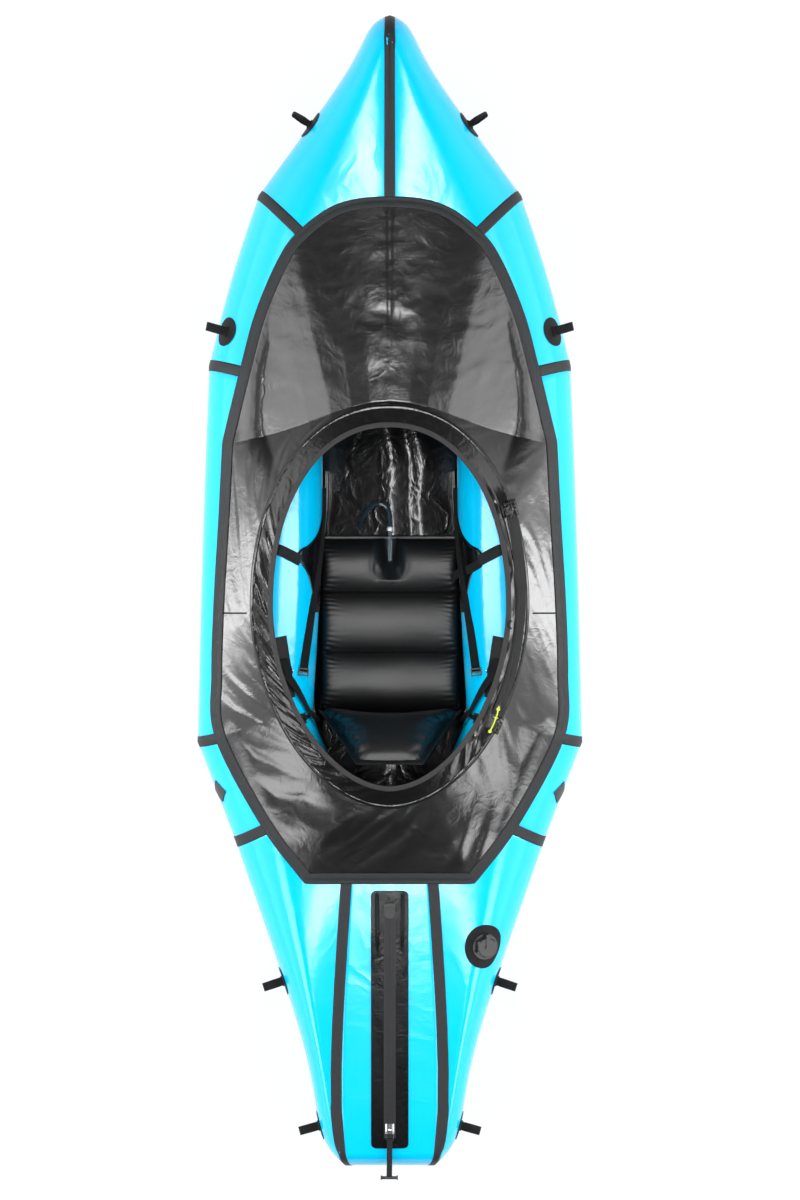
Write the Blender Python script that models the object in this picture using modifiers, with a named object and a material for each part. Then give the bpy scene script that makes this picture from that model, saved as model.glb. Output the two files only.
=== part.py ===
# Single seat inflatable packraft with spray deck, coaming, cargo zip and inflatable seat
# The bow points to +Y, the deck to +Z, and the floor sheet lies on the ground at zero
import math

import bmesh
import bpy
from mathutils import Matrix, Vector
from mathutils.bvhtree import BVHTree

# Driving dimensions of the hull in metres
HULL_LENGTH = 2.83
HULL_WIDTH = 0.95
TUBE_DIAMETER = 0.285
HULL_FABRIC = 0.0012
BOW_SECTION_LENGTH = 0.606
BOW_TIP_REACH = 0.07
BOW_TIP_HEIGHT = 0.19
BOW_RISE = 0.09
BOW_NOSE_BULGE = 0.021
FORE_BULGE = 0.007
SIDE_BULGE = 0.003
STERN_SECTION_LENGTH = 0.913
STERN_END_REACH = 0.045
STERN_END_HEIGHT = 0.19
STERN_RISE = 0.055
STERN_HIP_BULGE = 0.034
STERN_CROWN = 0.008
STERN_SEAM_BOW = 0.032

# Sheets, tapes and the clearance between touching pieces
CLEARANCE = 0.0003
LAY_LIFT = 0.0009
WRAP_LIFT = 0.0026
FLOOR_FABRIC = 0.0015
FLOOR_LAP = 0.02
DECK_FABRIC = 0.0008
TAPE_WIDTH = 0.027
TAPE_THICKNESS = 0.0006
WEBBING_THICKNESS = 0.0016
RAY_REACH = 0.2

# Coaming: a hoop in a fabric sleeve round the cockpit opening
OPENING_WIDTH = 0.562
OPENING_LENGTH = 0.864
OPENING_CENTRE_Y = -0.038
COAMING_HEIGHT = 0.372
COAMING_TILT_RISE = 0.036
BAND_WIDTH = 0.055
SLEEVE_FABRIC = 0.001
HOOP_DIAMETER = 0.012
NECK_SETBACK = 0.022
NECK_DEPTH = 0.03
NECK_LAP = 0.006
NECK_GAP = 0.0006
DECK_DROP = 0.006
DECK_CORNER_WIDTH = 0.012
BINDING_WIDTH = 0.011
BINDING_THICKNESS = 0.0012

# Coaming zip on the right of the band
COAMING_ZIP_RADIUS = 0.815
COAMING_ZIP_MIDDLE = 0.0285
COAMING_ZIP_CENTRE_Y = 0.035
COAMING_ZIP_WIDTH = 0.024
COAMING_ZIP_TAPE = 0.0008
COAMING_ZIP_COIL_WIDTH = 0.006
COAMING_ZIP_COIL_HEIGHT = 0.0016
COAMING_ZIP_FRONT_LENGTH = 0.23
COAMING_ZIP_REAR_LENGTH = 0.3
COAMING_SLIDER_LENGTH = 0.017
COAMING_SLIDER_WIDTH = 0.011
COAMING_SLIDER_HEIGHT = 0.0045
ZIP_CORD_DIAMETER = 0.0032
ZIP_CORD_LENGTH = 0.066

# Cargo zip on the stern
CARGO_PATCH_LENGTH = 0.633
CARGO_PATCH_WIDTH = 0.0913
CARGO_PATCH_START = 0.083
CARGO_PATCH_THICKNESS = 0.0014
CARGO_PATCH_CORNER = 0.012
CARGO_SLOT_WIDTH = 0.006
CARGO_ZIP_START = 0.15
CARGO_ZIP_LENGTH = 0.54
CARGO_ZIP_WIDTH = 0.029
CARGO_ZIP_BASE = 0.0014
CARGO_RAIL_WIDTH = 0.0042
CARGO_RAIL_HEIGHT = 0.003
CARGO_RAIL_GROOVE = 0.001
CARGO_DOCK_LENGTH = 0.038
CARGO_DOCK_WIDTH = 0.026
CARGO_DOCK_HEIGHT = 0.009
CARGO_DOCK_RIB = 0.0025
CARGO_SLIDER_LENGTH = 0.024
CARGO_SLIDER_WIDTH = 0.021
CARGO_SLIDER_WALL = 0.0022
CARGO_BAIL_WIRE = 0.0024
CARGO_BAIL_WIDTH = 0.0175
CARGO_BAIL_LENGTH = 0.021
CARGO_PULL_WIDTH = 0.012
CARGO_PULL_LENGTH = 0.09
CARGO_BAR_LENGTH = 0.044
CARGO_BAR_DIAMETER = 0.0065

# Inflation valve on the right of the stern
VALVE_X = 0.229
VALVE_Y = -0.862
VALVE_PATCH_RADIUS = 0.054
VALVE_PATCH_THICKNESS = 0.0014
VALVE_FLANGE_RADIUS = 0.031
VALVE_FLANGE_THICKNESS = 0.0035
VALVE_BARREL_RADIUS = 0.02
VALVE_BORE_RADIUS = 0.0155
VALVE_BARREL_DEPTH = 0.024
VALVE_COLLAR_RADIUS = 0.0185
VALVE_COLLAR_HEIGHT = 0.012
VALVE_SPIDER_THICKNESS = 0.003
VALVE_HUB_RADIUS = 0.0055
VALVE_STEM_RADIUS = 0.0022
VALVE_DISC_THICKNESS = 0.002
VALVE_BUTTON_RADIUS = 0.006
VALVE_BUTTON_HEIGHT = 0.003
VALVE_BUTTON_RISE = 0.012
SPRING_RADIUS = 0.0042
SPRING_WIRE = 0.0008
CAP_RADIUS = 0.0235
CAP_WALL = 0.003
CAP_LUG_RADIUS = 0.0042
LEASH_WIDTH = 0.008
LEASH_THICKNESS = 0.0018
LEASH_HUB_RADIUS = 0.005
LEASH_HUB_HEIGHT = 0.004

# Seat cushion, backrest and their inflation fittings
SEAT_FRONT_Y = 0.141
SEAT_LENGTH = 0.452
SEAT_SIDE_GAP = 0.014
SEAT_WIDTH = HULL_WIDTH - 2 * TUBE_DIAMETER - 2 * SEAT_SIDE_GAP
SEAT_HEIGHT = 0.086
SEAT_FLANGE = 0.009
SEAT_DRAW_IN = 0.008
SEAM_THICKNESS = 0.003
NOTCH_RADIUS = 0.03
BACK_HEIGHT = 0.32
BACK_LEAN = 0.086
BACK_WRAP = 0.036
BACK_SIDE_LAP = 0.003
BACK_WIDTH = SEAT_WIDTH + 2 * BACK_SIDE_LAP
BACK_TOP_WIDTH = 0.16
BACK_THICKNESS = 0.056
BACK_FLANGE = 0.016
BACK_HINGE_STRIP = 0.034
BACK_GAP = 0.0004
HINGE_DROP = 0.004
STEM_DIAMETER = 0.01
STEM_LENGTH = 0.075
NUT_DIAMETER = 0.0155
NUT_LENGTH = 0.011
HOSE_DIAMETER = 0.013
HOSE_REACH = 0.11

# Straps and buckles on the cockpit walls
STRAP_WIDTH = 0.02
TIE_WIDTH = 0.027
BUCKLE_Y = -0.187
FRONT_STRAP_Y = 0.105
FRONT_STRAP_LENGTH = 0.05
BUCKLE_PATCH_LENGTH = 0.15
BUCKLE_PATCH_WIDTH = 0.052
BUCKLE_LENGTH = 0.042
BUCKLE_WIDTH = 0.032
BUCKLE_THICKNESS = 0.004
BUCKLE_BAR = 0.005
BUCKLE_CORNER = 0.005
STRAP_END_GAP = 0.003

# Tie-down points on the hull sides
TIE_PATCH_RADIUS = 0.036
TIE_PATCH_THICKNESS = 0.0014
LOOP_WIDTH = 0.021
LOOP_LENGTH = 0.05
LOOP_GAP = 0.009

# Shares of the hull's half width and half length, and angles of the cross seams in degrees
FRONT_SEAM_SHARES = (0.6826, 0.6918)
FORE_SEAM_SHARES = (0.9406, 0.3945)
AFT_SEAM_SHARES = (1.0, -0.2624)
REAR_SEAM_SHARES = (0.8025, -0.4364)
STERN_END_SHARES = (0.2136, -1.0)
STERN_ROOT_SHARE = 0.193
SEAM_ANGLES = {"front": -45.0, "fore": -15.5, "aft": 12.8, "rear": 26.6}
SEAM_LENGTH_SHARES = {"front": 1.14, "fore": 1.02, "aft": 1.02, "rear": 1.03}

# Deck edge: half width share, length share and count of steps to the next point
DECK_FRONT_SHARES = (
    (0.0, 0.668, 2),
    (0.256, 0.6559, 2),
    (0.453, 0.6094, 1),
    (0.556, 0.5596, 1),
    (0.664, 0.4737, 2),
    (0.735, 0.3859, 2),
    (0.832, 0.2569, 0),
)
# Outer line of the rear deck from the bow: an angle round the coaming and a rise share follow
DECK_REAR_SHARES = (
    (0.0, 0.324, 0.0, 1.0, 1),
    (0.1, 0.3205, 9.0, 0.99, 1),
    (0.188, 0.3135, 18.0, 0.95, 1),
    (0.297, 0.302, 27.0, 0.86, 1),
    (0.406, 0.2906, 36.0, 0.7, 1),
    (0.52, 0.279, 45.0, 0.5, 1),
    (0.628, 0.2698, 54.0, 0.3, 1),
    (0.74, 0.262, 63.0, 0.12, 1),
    (0.832, 0.2569, 72.0, 0.0, 1),
    (0.853, 0.12, 81.0, 0.0, 1),
    (0.877, -0.0149, 90.0, 0.0, 2),
    (0.889, -0.1438, 108.0, 0.0, 2),
    (0.871, -0.2487, 126.0, 0.0, 3),
    (0.6375, -0.3967, 153.0, 0.0, 1),
    (0.421, -0.4931, 162.0, 0.0, 2),
    (0.0, -0.4931, 180.0, 0.0, 0),
)
BUCKLE_PATCH_SHARES = ((0.42, 0.5), (0.5, 0.17), (0.58, -0.17), (0.66, -0.5))
FRONT_STRAP_SHARES = ((0.3, 0.0), (0.5, 0.1), (0.7, 0.3), (0.9, 0.5))
BUCKLE_SHARE = 0.62
DECK_SIDE_INDEX = 8
DECK_CORNER_INDEX = 14
DECK_ROW_SHARES = (0.0, 0.14, 0.34, 0.65, 1.0)
BOW_RING_SHARES = (0.0, 0.04, 0.11, 0.26, 0.5, 0.75, 1.0)
STERN_RING_SHARES = (0.0, 0.25, 0.5, 0.68, 0.82, 0.93, 1.0)
HOSE_ROUTE_SHARES = (
    (0.0, 0.0, 0.0),
    (0.0, 0.14, 0.0),
    (-0.02, 0.34, 0.01),
    (-0.13, 0.5, 0.01),
    (-0.32, 0.52, -0.05),
    (-0.5, 0.4, -0.18),
    (-0.62, 0.2, -0.36),
    (-0.7, 0.02, -0.54),
)
RING_SIDES = 24
HALF_SIDES = RING_SIDES // 2
COAMING_STATIONS = 40
SETTLE_STEPS = 7
DECK_SEAM_STATIONS = 8
SLEEVE_STEP = 34
COAMING_FRONT_POWER = 2.15
COAMING_REAR_POWER = 1.85
SEAT_CHANNEL_SHARES = (0.0, 0.31, 0.655, 1.0)
SEAT_WELD_DEPTH_SHARE = 0.42
BACK_SHOULDER_SHARE = 0.3
TIE_PLACE_SHARES = (
    ("bow", 0.81, 0.68),
    ("mid", 0.449, 0.79),
    ("rear", -0.678, 0.6),
    ("stern", -0.93, 0.6),
)
LEFT = -1
RIGHT = 1

# The lowest line of the tubes lies on the floor sheet
HULL_BASE = FLOOR_FABRIC + CLEARANCE
TUBE_RADIUS = TUBE_DIAMETER / 2

COLOURS = {
    "hull": ((0.0, 0.55, 0.82), 0.35, 0.0),
    "tape": ((0.035, 0.04, 0.045), 0.5, 0.0),
    "deck": ((0.012, 0.012, 0.014), 0.28, 0.0),
    "webbing": ((0.015, 0.015, 0.016), 0.8, 0.0),
    "plastic": ((0.02, 0.02, 0.022), 0.4, 0.0),
    "metal": ((0.75, 0.76, 0.78), 0.2, 1.0),
    "cord": ((0.75, 0.85, 0.03), 0.6, 0.0),
    "clear": ((0.55, 0.7, 0.8), 0.12, 0.0),
    "rod": ((0.55, 0.55, 0.5), 0.5, 0.0),
}


def clear_scene():
    for item in list(bpy.data.objects):
        bpy.data.objects.remove(item, do_unlink=True)


def new_collection(name):
    collection = bpy.data.collections.new(name)
    bpy.context.scene.collection.children.link(collection)
    return collection


def new_material(name, colour):
    rgb, roughness, metallic = COLOURS[colour]
    material = bpy.data.materials.new(name + "_finish")
    material.use_nodes = True
    shader = material.node_tree.nodes["Principled BSDF"]
    shader.inputs["Base Color"].default_value = (*rgb, 1.0)
    shader.inputs["Roughness"].default_value = roughness
    shader.inputs["Metallic"].default_value = metallic
    return material


def place(name, data, colour, parent=None):
    item = bpy.data.objects.new(name, data)
    if colour:
        data.materials.append(new_material(name, colour))
        PARTS.objects.link(item)
    else:
        CUTTERS.objects.link(item)
        item.hide_render = True
        item.display_type = "WIRE"
    item.parent = parent
    return item


def mesh_from(bm, name, smooth=True):
    bmesh.ops.recalc_face_normals(bm, faces=bm.faces)
    if bm.calc_volume(signed=True) < 0:
        bmesh.ops.reverse_faces(bm, faces=bm.faces)
    mesh = bpy.data.meshes.new(name)
    bm.to_mesh(mesh)
    bm.free()
    if smooth:
        mesh.shade_smooth()
        mesh.set_sharp_from_angle(angle=math.radians(35))
    return mesh


def new_frame(name, matrix):
    frame = bpy.data.objects.new(name, None)
    PARTS.objects.link(frame)
    frame.matrix_world = matrix
    bpy.context.view_layer.update()
    return frame


def frame_matrix(origin, x_axis, z_axis):
    z_axis = z_axis.normalized()
    y_axis = z_axis.cross(x_axis).normalized()
    x_axis = y_axis.cross(z_axis)
    matrix = Matrix((x_axis, y_axis, z_axis)).transposed().to_4x4()
    matrix.translation = origin
    return matrix


def world_mesh(item):
    graph = bpy.context.evaluated_depsgraph_get()
    evaluated = item.evaluated_get(graph)
    mesh = evaluated.to_mesh()
    points = [item.matrix_world @ v.co for v in mesh.vertices]
    faces = [tuple(p.vertices) for p in mesh.polygons]
    evaluated.to_mesh_clear()
    return points, faces


def skin_of(items):
    points, faces = [], []
    for item in items:
        own_points, own_faces = world_mesh(item)
        start = len(points)
        points += own_points
        faces += [tuple(i + start for i in face) for face in own_faces]
    return BVHTree.FromPolygons(points, faces)


def reach_skin(skin, start, direction):
    """Least way from start along direction to the skin, looking past the narrow seam gaps."""
    across = direction.orthogonal().normalized() * CLEARANCE
    other = direction.cross(across)
    ways = []
    for nudge in (across * 0.0, across, -across, other, -other):
        hit = skin.ray_cast(start + nudge, direction)[0]
        if hit:
            ways.append((hit - start - nudge).dot(direction))
    return min(ways) if ways else None


def lay(skin, point, direction, lift):
    """The place where a ray along direction meets the skin, held back by lift."""
    direction = direction.normalized()
    start = point - direction * RAY_REACH
    way = reach_skin(skin, start, direction)
    return start + direction * ((RAY_REACH if way is None else way) - lift)


def top_height(skin, x, y):
    way = reach_skin(skin, Vector((x, y, HULL_LENGTH)), Vector((0.0, 0.0, -1.0)))
    return 0.0 if way is None else HULL_LENGTH - way


def settle(skin, rows, directions, lift, closed=False):
    """Raise the points of a draped grid until no part of it comes nearer the skin than lift."""
    count = len(rows)
    for _ in range(2):
        raises = [[0.0] * len(row) for row in rows]
        for r in range(count if closed else count - 1):
            n = (r + 1) % count
            for c in range(len(rows[r]) - 1):
                corners = ((r, c), (r, c + 1), (n, c), (n, c + 1))
                need = cell_need(skin, [rows[i][j] for i, j in corners], directions[r], lift)
                for i, j in corners:
                    raises[i][j] = max(raises[i][j], need)
        for row, amounts, direction in zip(rows, raises, directions):
            for j, amount in enumerate(amounts):
                row[j] = row[j] - direction * amount
    return rows


def cell_need(skin, corners, direction, lift):
    a, b, c, d = corners
    need = 0.0
    for i in range(SETTLE_STEPS + 1):
        for j in range(SETTLE_STEPS + 1):
            u, v = i / SETTLE_STEPS, j / SETTLE_STEPS
            point = a + (c - a) * u + (d - c) * v if u > v else a + (b - a) * v + (d - b) * u
            way = reach_skin(skin, point - direction * RAY_REACH, direction)
            if way is not None:
                need = max(need, RAY_REACH - way + lift)
    return need


# Sheets and strips are open grids that a Solidify modifier thickens
def grid_mesh(name, rows, up, closed=False):
    bm = bmesh.new()
    grid = [[bm.verts.new(p) for p in row] for row in rows]
    count = len(grid)
    for r in range(count if closed else count - 1):
        first, second = grid[r], grid[(r + 1) % count]
        for c in range(len(first) - 1):
            bm.faces.new((first[c], second[c], second[c + 1]))
            bm.faces.new((first[c], second[c + 1], first[c + 1]))
    bmesh.ops.remove_doubles(bm, verts=bm.verts, dist=CLEARANCE / 30)
    bm.normal_update()
    middle = bm.faces[:][len(bm.faces) // 2]
    if middle.normal.dot(up(middle.calc_center_median())) < 0:
        bmesh.ops.reverse_faces(bm, faces=bm.faces)
    mesh = bpy.data.meshes.new(name)
    bm.to_mesh(mesh)
    bm.free()
    return mesh


def thicken(item, thickness):
    solid = item.modifiers.new("thickness", "SOLIDIFY")
    solid.thickness = thickness
    solid.offset = 1.0
    return item


def upward(_point):
    return Vector((0.0, 0.0, 1.0))


def add_sheet(name, rows, thickness, colour, up=upward, closed=False, parent=None):
    mesh = grid_mesh(name, rows, up, closed)
    mesh.shade_smooth()
    return thicken(place(name, mesh, colour, parent), thickness)


def poly_curve(name, splines, flat, cyclic):
    curve = bpy.data.curves.new(name, "CURVE")
    curve.dimensions = "2D" if flat else "3D"
    curve.resolution_u = 1
    curve.render_resolution_u = 0
    for points in splines:
        spline = curve.splines.new("POLY")
        spline.points.add(len(points) - 1)
        for knot, p in zip(spline.points, points):
            knot.co = (p[0], p[1], p[2] if len(p) > 2 else 0.0, 1.0)
        spline.use_cyclic_u = cyclic
    return curve


def add_tube(name, points, diameter, colour, cyclic=False, parent=None, roundness=2):
    curve = poly_curve(name, [points], False, cyclic)
    curve.bevel_depth = diameter / 2
    curve.bevel_resolution = roundness
    curve.use_fill_caps = not cyclic
    return place(name, curve, colour, parent)


# A flat piece is an outline, with any holes, extruded to its thickness
def add_plate(name, outlines, thickness, colour, parent=None, edge=0.0):
    curve = poly_curve(name, outlines, True, True)
    curve.fill_mode = "BOTH"
    curve.extrude = thickness / 2
    item = place(name, curve, None, parent)
    mesh = curve_to_mesh(item)
    bpy.data.objects.remove(item, do_unlink=True)
    item = place(name, mesh, colour, parent)
    if edge:
        add_bevel(item, edge)
    return item


def curve_to_mesh(item):
    graph = bpy.context.evaluated_depsgraph_get()
    mesh = bpy.data.meshes.new_from_object(item.evaluated_get(graph))
    bm = bmesh.new()
    bm.from_mesh(mesh)
    bmesh.ops.remove_doubles(bm, verts=bm.verts, dist=CLEARANCE / 30)
    bmesh.ops.recalc_face_normals(bm, faces=bm.faces)
    bm.to_mesh(mesh)
    bm.free()
    return mesh


def add_bevel(item, width):
    bevel = item.modifiers.new("edges", "BEVEL")
    bevel.width = width
    bevel.segments = 1
    bevel.limit_method = "ANGLE"
    bevel.angle_limit = math.radians(40)


def add_boolean(item, other, operation):
    cut = item.modifiers.new(operation.lower(), "BOOLEAN")
    cut.operation = operation
    cut.object = other


def add_sweep(name, path, profile, colour, cyclic, parent):
    guide = place(name + "_profile", poly_curve(name + "_profile", [profile], True, True), None)
    curve = poly_curve(name, [path], False, cyclic)
    curve.twist_mode = "Z_UP"
    curve.bevel_mode = "OBJECT"
    curve.bevel_object = guide
    curve.use_fill_caps = not cyclic
    return place(name, curve, colour, parent)


def add_turned(name, profile, steps, colour, parent=None):
    """A profile of radius and height pairs, run down its outer side, turned about Z."""
    bm = bmesh.new()
    verts = [bm.verts.new((r, 0.0, z)) for r, z in profile]
    closed = profile[0][0] > 0
    for a, b in zip(verts, verts[1:] + verts[:1] if closed else verts[1:]):
        bm.edges.new((a, b))
    mesh = bpy.data.meshes.new(name)
    bm.to_mesh(mesh)
    bm.free()
    item = place(name, mesh, colour, parent)
    screw = item.modifiers.new("turn", "SCREW")
    screw.steps = steps
    screw.render_steps = steps
    screw.use_merge_vertices = True
    screw.merge_threshold = CLEARANCE / 30
    return item


def smooth_points(points, counts):
    """A smooth curve through the points, with its own count of steps for each span."""
    ends = [points[0] * 2 - points[1]] + list(points) + [points[-1] * 2 - points[-2]]
    out = []
    for i, count in enumerate(counts):
        a, b, c, d = ends[i : i + 4]
        for step in range(count):
            t = step / count
            out.append(
                b
                + (c - a) * (t / 2)
                + (a * 2 - b * 5 + c * 4 - d) * (t * t / 2)
                + (b * 3 - a - c * 3 + d) * (t * t * t / 2)
            )
    out.append(points[-1].copy())
    return out


def rounded_rectangle(width, length, radius, steps=3, centre_y=0.0):
    points = []
    for turn in range(4):
        corner = Vector(
            (
                (width / 2 - radius) * (1 if turn in (0, 3) else -1),
                (length / 2 - radius) * (1 if turn in (0, 1) else -1),
            )
        )
        for step in range(steps + 1):
            angle = math.radians(90) * (turn + step / steps)
            edge = Vector((math.cos(angle), math.sin(angle))) * radius
            points.append((corner.x + edge.x, corner.y + edge.y + centre_y))
    return points


# Hull sections are upright loops: an outer arc, an inner arc and flats between them
def section_profile(length, outer_end, inner_end, spread):
    limit = math.pi / 2 - (1 - spread) * math.pi / RING_SIDES
    angles = [limit * (2 * i / (HALF_SIDES - 1) - 1) for i in range(HALF_SIDES)]
    reach, half_height, centre = outer_end
    loop = [(reach * (1 - math.cos(a)), centre + half_height * math.sin(a)) for a in angles]
    reach, half_height, centre = inner_end
    loop += [
        (length - reach * (1 - math.cos(a)), centre + half_height * math.sin(a))
        for a in reversed(angles)
    ]
    return [Vector(p) for p in loop]


def inset_profile(loop, wall):
    out = []
    for i, point in enumerate(loop):
        before = (point - loop[i - 1]).normalized()
        after = (loop[(i + 1) % len(loop)] - point).normalized()
        inward = Vector((before.y + after.y, -before.x - after.x)).normalized()
        stretch = max(inward.dot(Vector((after.y, -after.x))), math.cos(math.radians(60)))
        out.append(point + inward * (wall / stretch))
    return out


class Section:
    """One seam of the hull: its outer and inner skin loops in world space."""

    def __init__(self, outer, inner, outer_end, inner_end, spread, normal, bow=0.0, side=LEFT):
        self.outer = outer
        self.inner = inner
        self.normal = normal.normalized()
        length = (inner - outer).length
        profile = section_profile(length, outer_end, inner_end, spread)
        self.skins = []
        shares = [min(max(along / length, 0.0), 1.0) for along, height in profile]
        for loop in (profile, inset_profile(profile, HULL_FABRIC)):
            points = []
            for (along, height), share in zip(loop, shares):
                base = outer + (inner - outer) * (along / length)
                sideways = side * bow * math.sin(math.pi * math.sqrt(share))
                points.append(Vector((base.x + sideways, base.y, height)))
            self.skins.append(points)

    def moved(self, distance):
        shift = Vector((self.normal.x, self.normal.y, 0.0)) * distance
        return [[p + shift for p in skin] for skin in self.skins]


def plan_point(shares, side):
    return Vector((side * shares[0] * HULL_WIDTH / 2, shares[1] * HULL_LENGTH / 2))


def tube_section(seam, shares, side):
    angle = math.radians(SEAM_ANGLES[seam])
    length = TUBE_DIAMETER * SEAM_LENGTH_SHARES[seam]
    outer = plan_point(shares, side)
    inward = Vector((-side * math.cos(angle), math.sin(angle)))
    end = (length / 2, TUBE_RADIUS, HULL_BASE + TUBE_RADIUS)
    normal = Vector((-side * math.sin(angle), -math.cos(angle)))
    return Section(outer, outer + inward * length, end, end, 0.0, normal)


def bow_section(side):
    outer = Vector((0.0, HULL_LENGTH / 2))
    inner = Vector((0.0, HULL_LENGTH / 2 - BOW_SECTION_LENGTH))
    tip = (BOW_TIP_REACH, BOW_TIP_HEIGHT / 2, HULL_BASE + BOW_RISE + BOW_TIP_HEIGHT / 2)
    root = (TUBE_RADIUS, TUBE_RADIUS, HULL_BASE + TUBE_RADIUS)
    return Section(outer, inner, tip, root, 1.0, Vector((side, 0.0)))


def stern_section(side):
    outer = plan_point(STERN_END_SHARES, side)
    inner = Vector((side * STERN_ROOT_SHARE * HULL_WIDTH / 2, outer.y + STERN_SECTION_LENGTH))
    end = (STERN_END_REACH, STERN_END_HEIGHT / 2, HULL_BASE + STERN_RISE + STERN_END_HEIGHT / 2)
    root = (TUBE_RADIUS, TUBE_RADIUS, HULL_BASE + TUBE_RADIUS)
    return Section(
        outer, inner, end, root, 1.0, Vector((-side, 0.0)), STERN_SEAM_BOW, side
    )


def hull_sections(side):
    return {
        "bow": bow_section(side),
        "front": tube_section("front", FRONT_SEAM_SHARES, side),
        "fore": tube_section("fore", FORE_SEAM_SHARES, side),
        "aft": tube_section("aft", AFT_SEAM_SHARES, side),
        "rear": tube_section("rear", REAR_SEAM_SHARES, side),
        "stern": stern_section(side),
    }


def bulge_vector(index, first, second, side_amount, crown_amount):
    """How far a point of the ring swells: outwards on the outer arc, up on the top."""
    run = second.outer - first.outer
    outward = Vector((run.y, -run.x)).normalized()
    if outward.dot(first.outer - first.inner) < 0:
        outward = -outward
    place_in_arc = index if index < HALF_SIDES else RING_SIDES - 1 - index
    angle = math.pi * (place_in_arc / (HALF_SIDES - 1) - 1 / 2)
    sideways = math.cos(angle) * side_amount if index < HALF_SIDES else 0.0
    up = max(math.sin(angle), 0.0) * crown_amount
    return Vector((outward.x * sideways, outward.y * sideways, up))


def panel_rings(first, second, shares, side_bulge, crown):
    starts, ends = first.moved(CLEARANCE / 2), second.moved(-CLEARANCE / 2)
    skins = []
    for start, end in zip(starts, ends):
        rings = []
        for share in shares:
            side_amount, crown_amount = side_bulge(share), crown(share)
            rings.append(
                [
                    a.lerp(b, share) + bulge_vector(i, first, second, side_amount, crown_amount)
                    for i, (a, b) in enumerate(zip(start, end))
                ]
            )
        skins.append(rings)
    return skins


def add_panel(name, skins):
    bm = bmesh.new()
    outer, inner = [[[bm.verts.new(p) for p in ring] for ring in rings] for rings in skins]
    for rings in (outer, inner):
        for one, two in zip(rings, rings[1:]):
            for i in range(RING_SIDES):
                j = (i + 1) % RING_SIDES
                if one[i].co.z + one[j].co.z > TUBE_DIAMETER:
                    bm.faces.new((one[i], one[j], two[j]))
                    bm.faces.new((one[i], two[j], two[i]))
                else:
                    bm.faces.new((one[i], one[j], two[i]))
                    bm.faces.new((one[j], two[j], two[i]))
    for end in (0, -1):
        for i in range(RING_SIDES):
            j = (i + 1) % RING_SIDES
            bm.faces.new((outer[end][i], outer[end][j], inner[end][j], inner[end][i]))
    return place(name, mesh_from(bm, name), "hull")


def no_bulge(_share):
    return 0.0


def even_bulge(amount):
    return lambda share: amount * math.sin(math.pi * share)


def nose_bulge(share):
    return BOW_NOSE_BULGE * math.sin(math.pi * (1 - share) ** 7)


def hip_bulge(share):
    return STERN_HIP_BULGE * math.sin(math.pi * share**6)


def build_hull():
    panels = []
    sections = {side: hull_sections(side) for side in (LEFT, RIGHT)}
    for side, word in ((LEFT, "left"), (RIGHT, "right")):
        s = sections[side]
        plans = (
            ("bow_panel", "bow", "front", BOW_RING_SHARES, nose_bulge, no_bulge),
            ("fore_panel", "front", "fore", (0.0, 0.33, 0.67, 1.0), even_bulge(FORE_BULGE), no_bulge),
            ("side_panel", "fore", "aft", (0.0, 0.5, 1.0), even_bulge(SIDE_BULGE), no_bulge),
            ("aft_panel", "aft", "rear", (0.0, 1.0), no_bulge, no_bulge),
            (
                "stern_side_panel",
                "rear",
                "stern",
                STERN_RING_SHARES,
                hip_bulge,
                even_bulge(STERN_CROWN),
            ),
        )
        for name, a, b, shares, side_bulge, crown in plans:
            skins = panel_rings(s[a], s[b], shares, side_bulge, crown)
            panels.append(add_panel(f"{name}_{word}", skins))
    left, right = sections[LEFT]["stern"], sections[RIGHT]["stern"]
    skins = list(zip(left.moved(CLEARANCE / 2), right.moved(CLEARANCE / 2)))
    panels.append(add_panel("stern_centre_panel", skins))
    return sections, panels


def floor_outline(sections):
    """Half outline of the floor under the middle line of the tubes, from bow to stern."""
    s = sections[RIGHT]
    half = [Vector((s["bow"].inner.x, s["bow"].inner.y + TUBE_RADIUS))]
    for seam in ("front", "fore", "aft", "rear"):
        middle = (s[seam].outer + s[seam].inner) / 2
        half.append(middle + Vector((FLOOR_LAP, 0.0)))
    half.append(Vector((s["stern"].inner.x + FLOOR_LAP, s["stern"].inner.y - TUBE_RADIUS)))
    return half


def build_floor(sections):
    half = floor_outline(sections)
    points = [(p.x, p.y) for p in half] + [(-p.x, p.y) for p in reversed(half[1:])]
    item = add_plate("floor_sheet", [points], FLOOR_FABRIC, "deck")
    item.location.z = FLOOR_FABRIC / 2
    return item


# The coaming lies in its own tilted plane, centred on the cockpit opening
def opening_point(angle, offset=0.0):
    """A point round the opening from the bow end, offset outwards in the coaming's plane."""

    def on_edge(a):
        power = COAMING_FRONT_POWER if math.cos(a) > 0 else COAMING_REAR_POWER
        x, y = math.sin(a), math.cos(a)
        return Vector(
            (
                math.copysign(abs(x) ** (2 / power), x) * OPENING_WIDTH / 2,
                math.copysign(abs(y) ** (2 / power), y) * OPENING_LENGTH / 2,
            )
        )

    nudge = math.radians(2)
    run = on_edge(angle + nudge) - on_edge(angle - nudge)
    outward = Vector((-run.y, run.x)).normalized()
    return on_edge(angle) + outward * offset


def coaming_path(offset=0.0):
    return [
        (*opening_point(2 * math.pi * i / COAMING_STATIONS, offset), 0.0)
        for i in range(COAMING_STATIONS)
    ]


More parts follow.
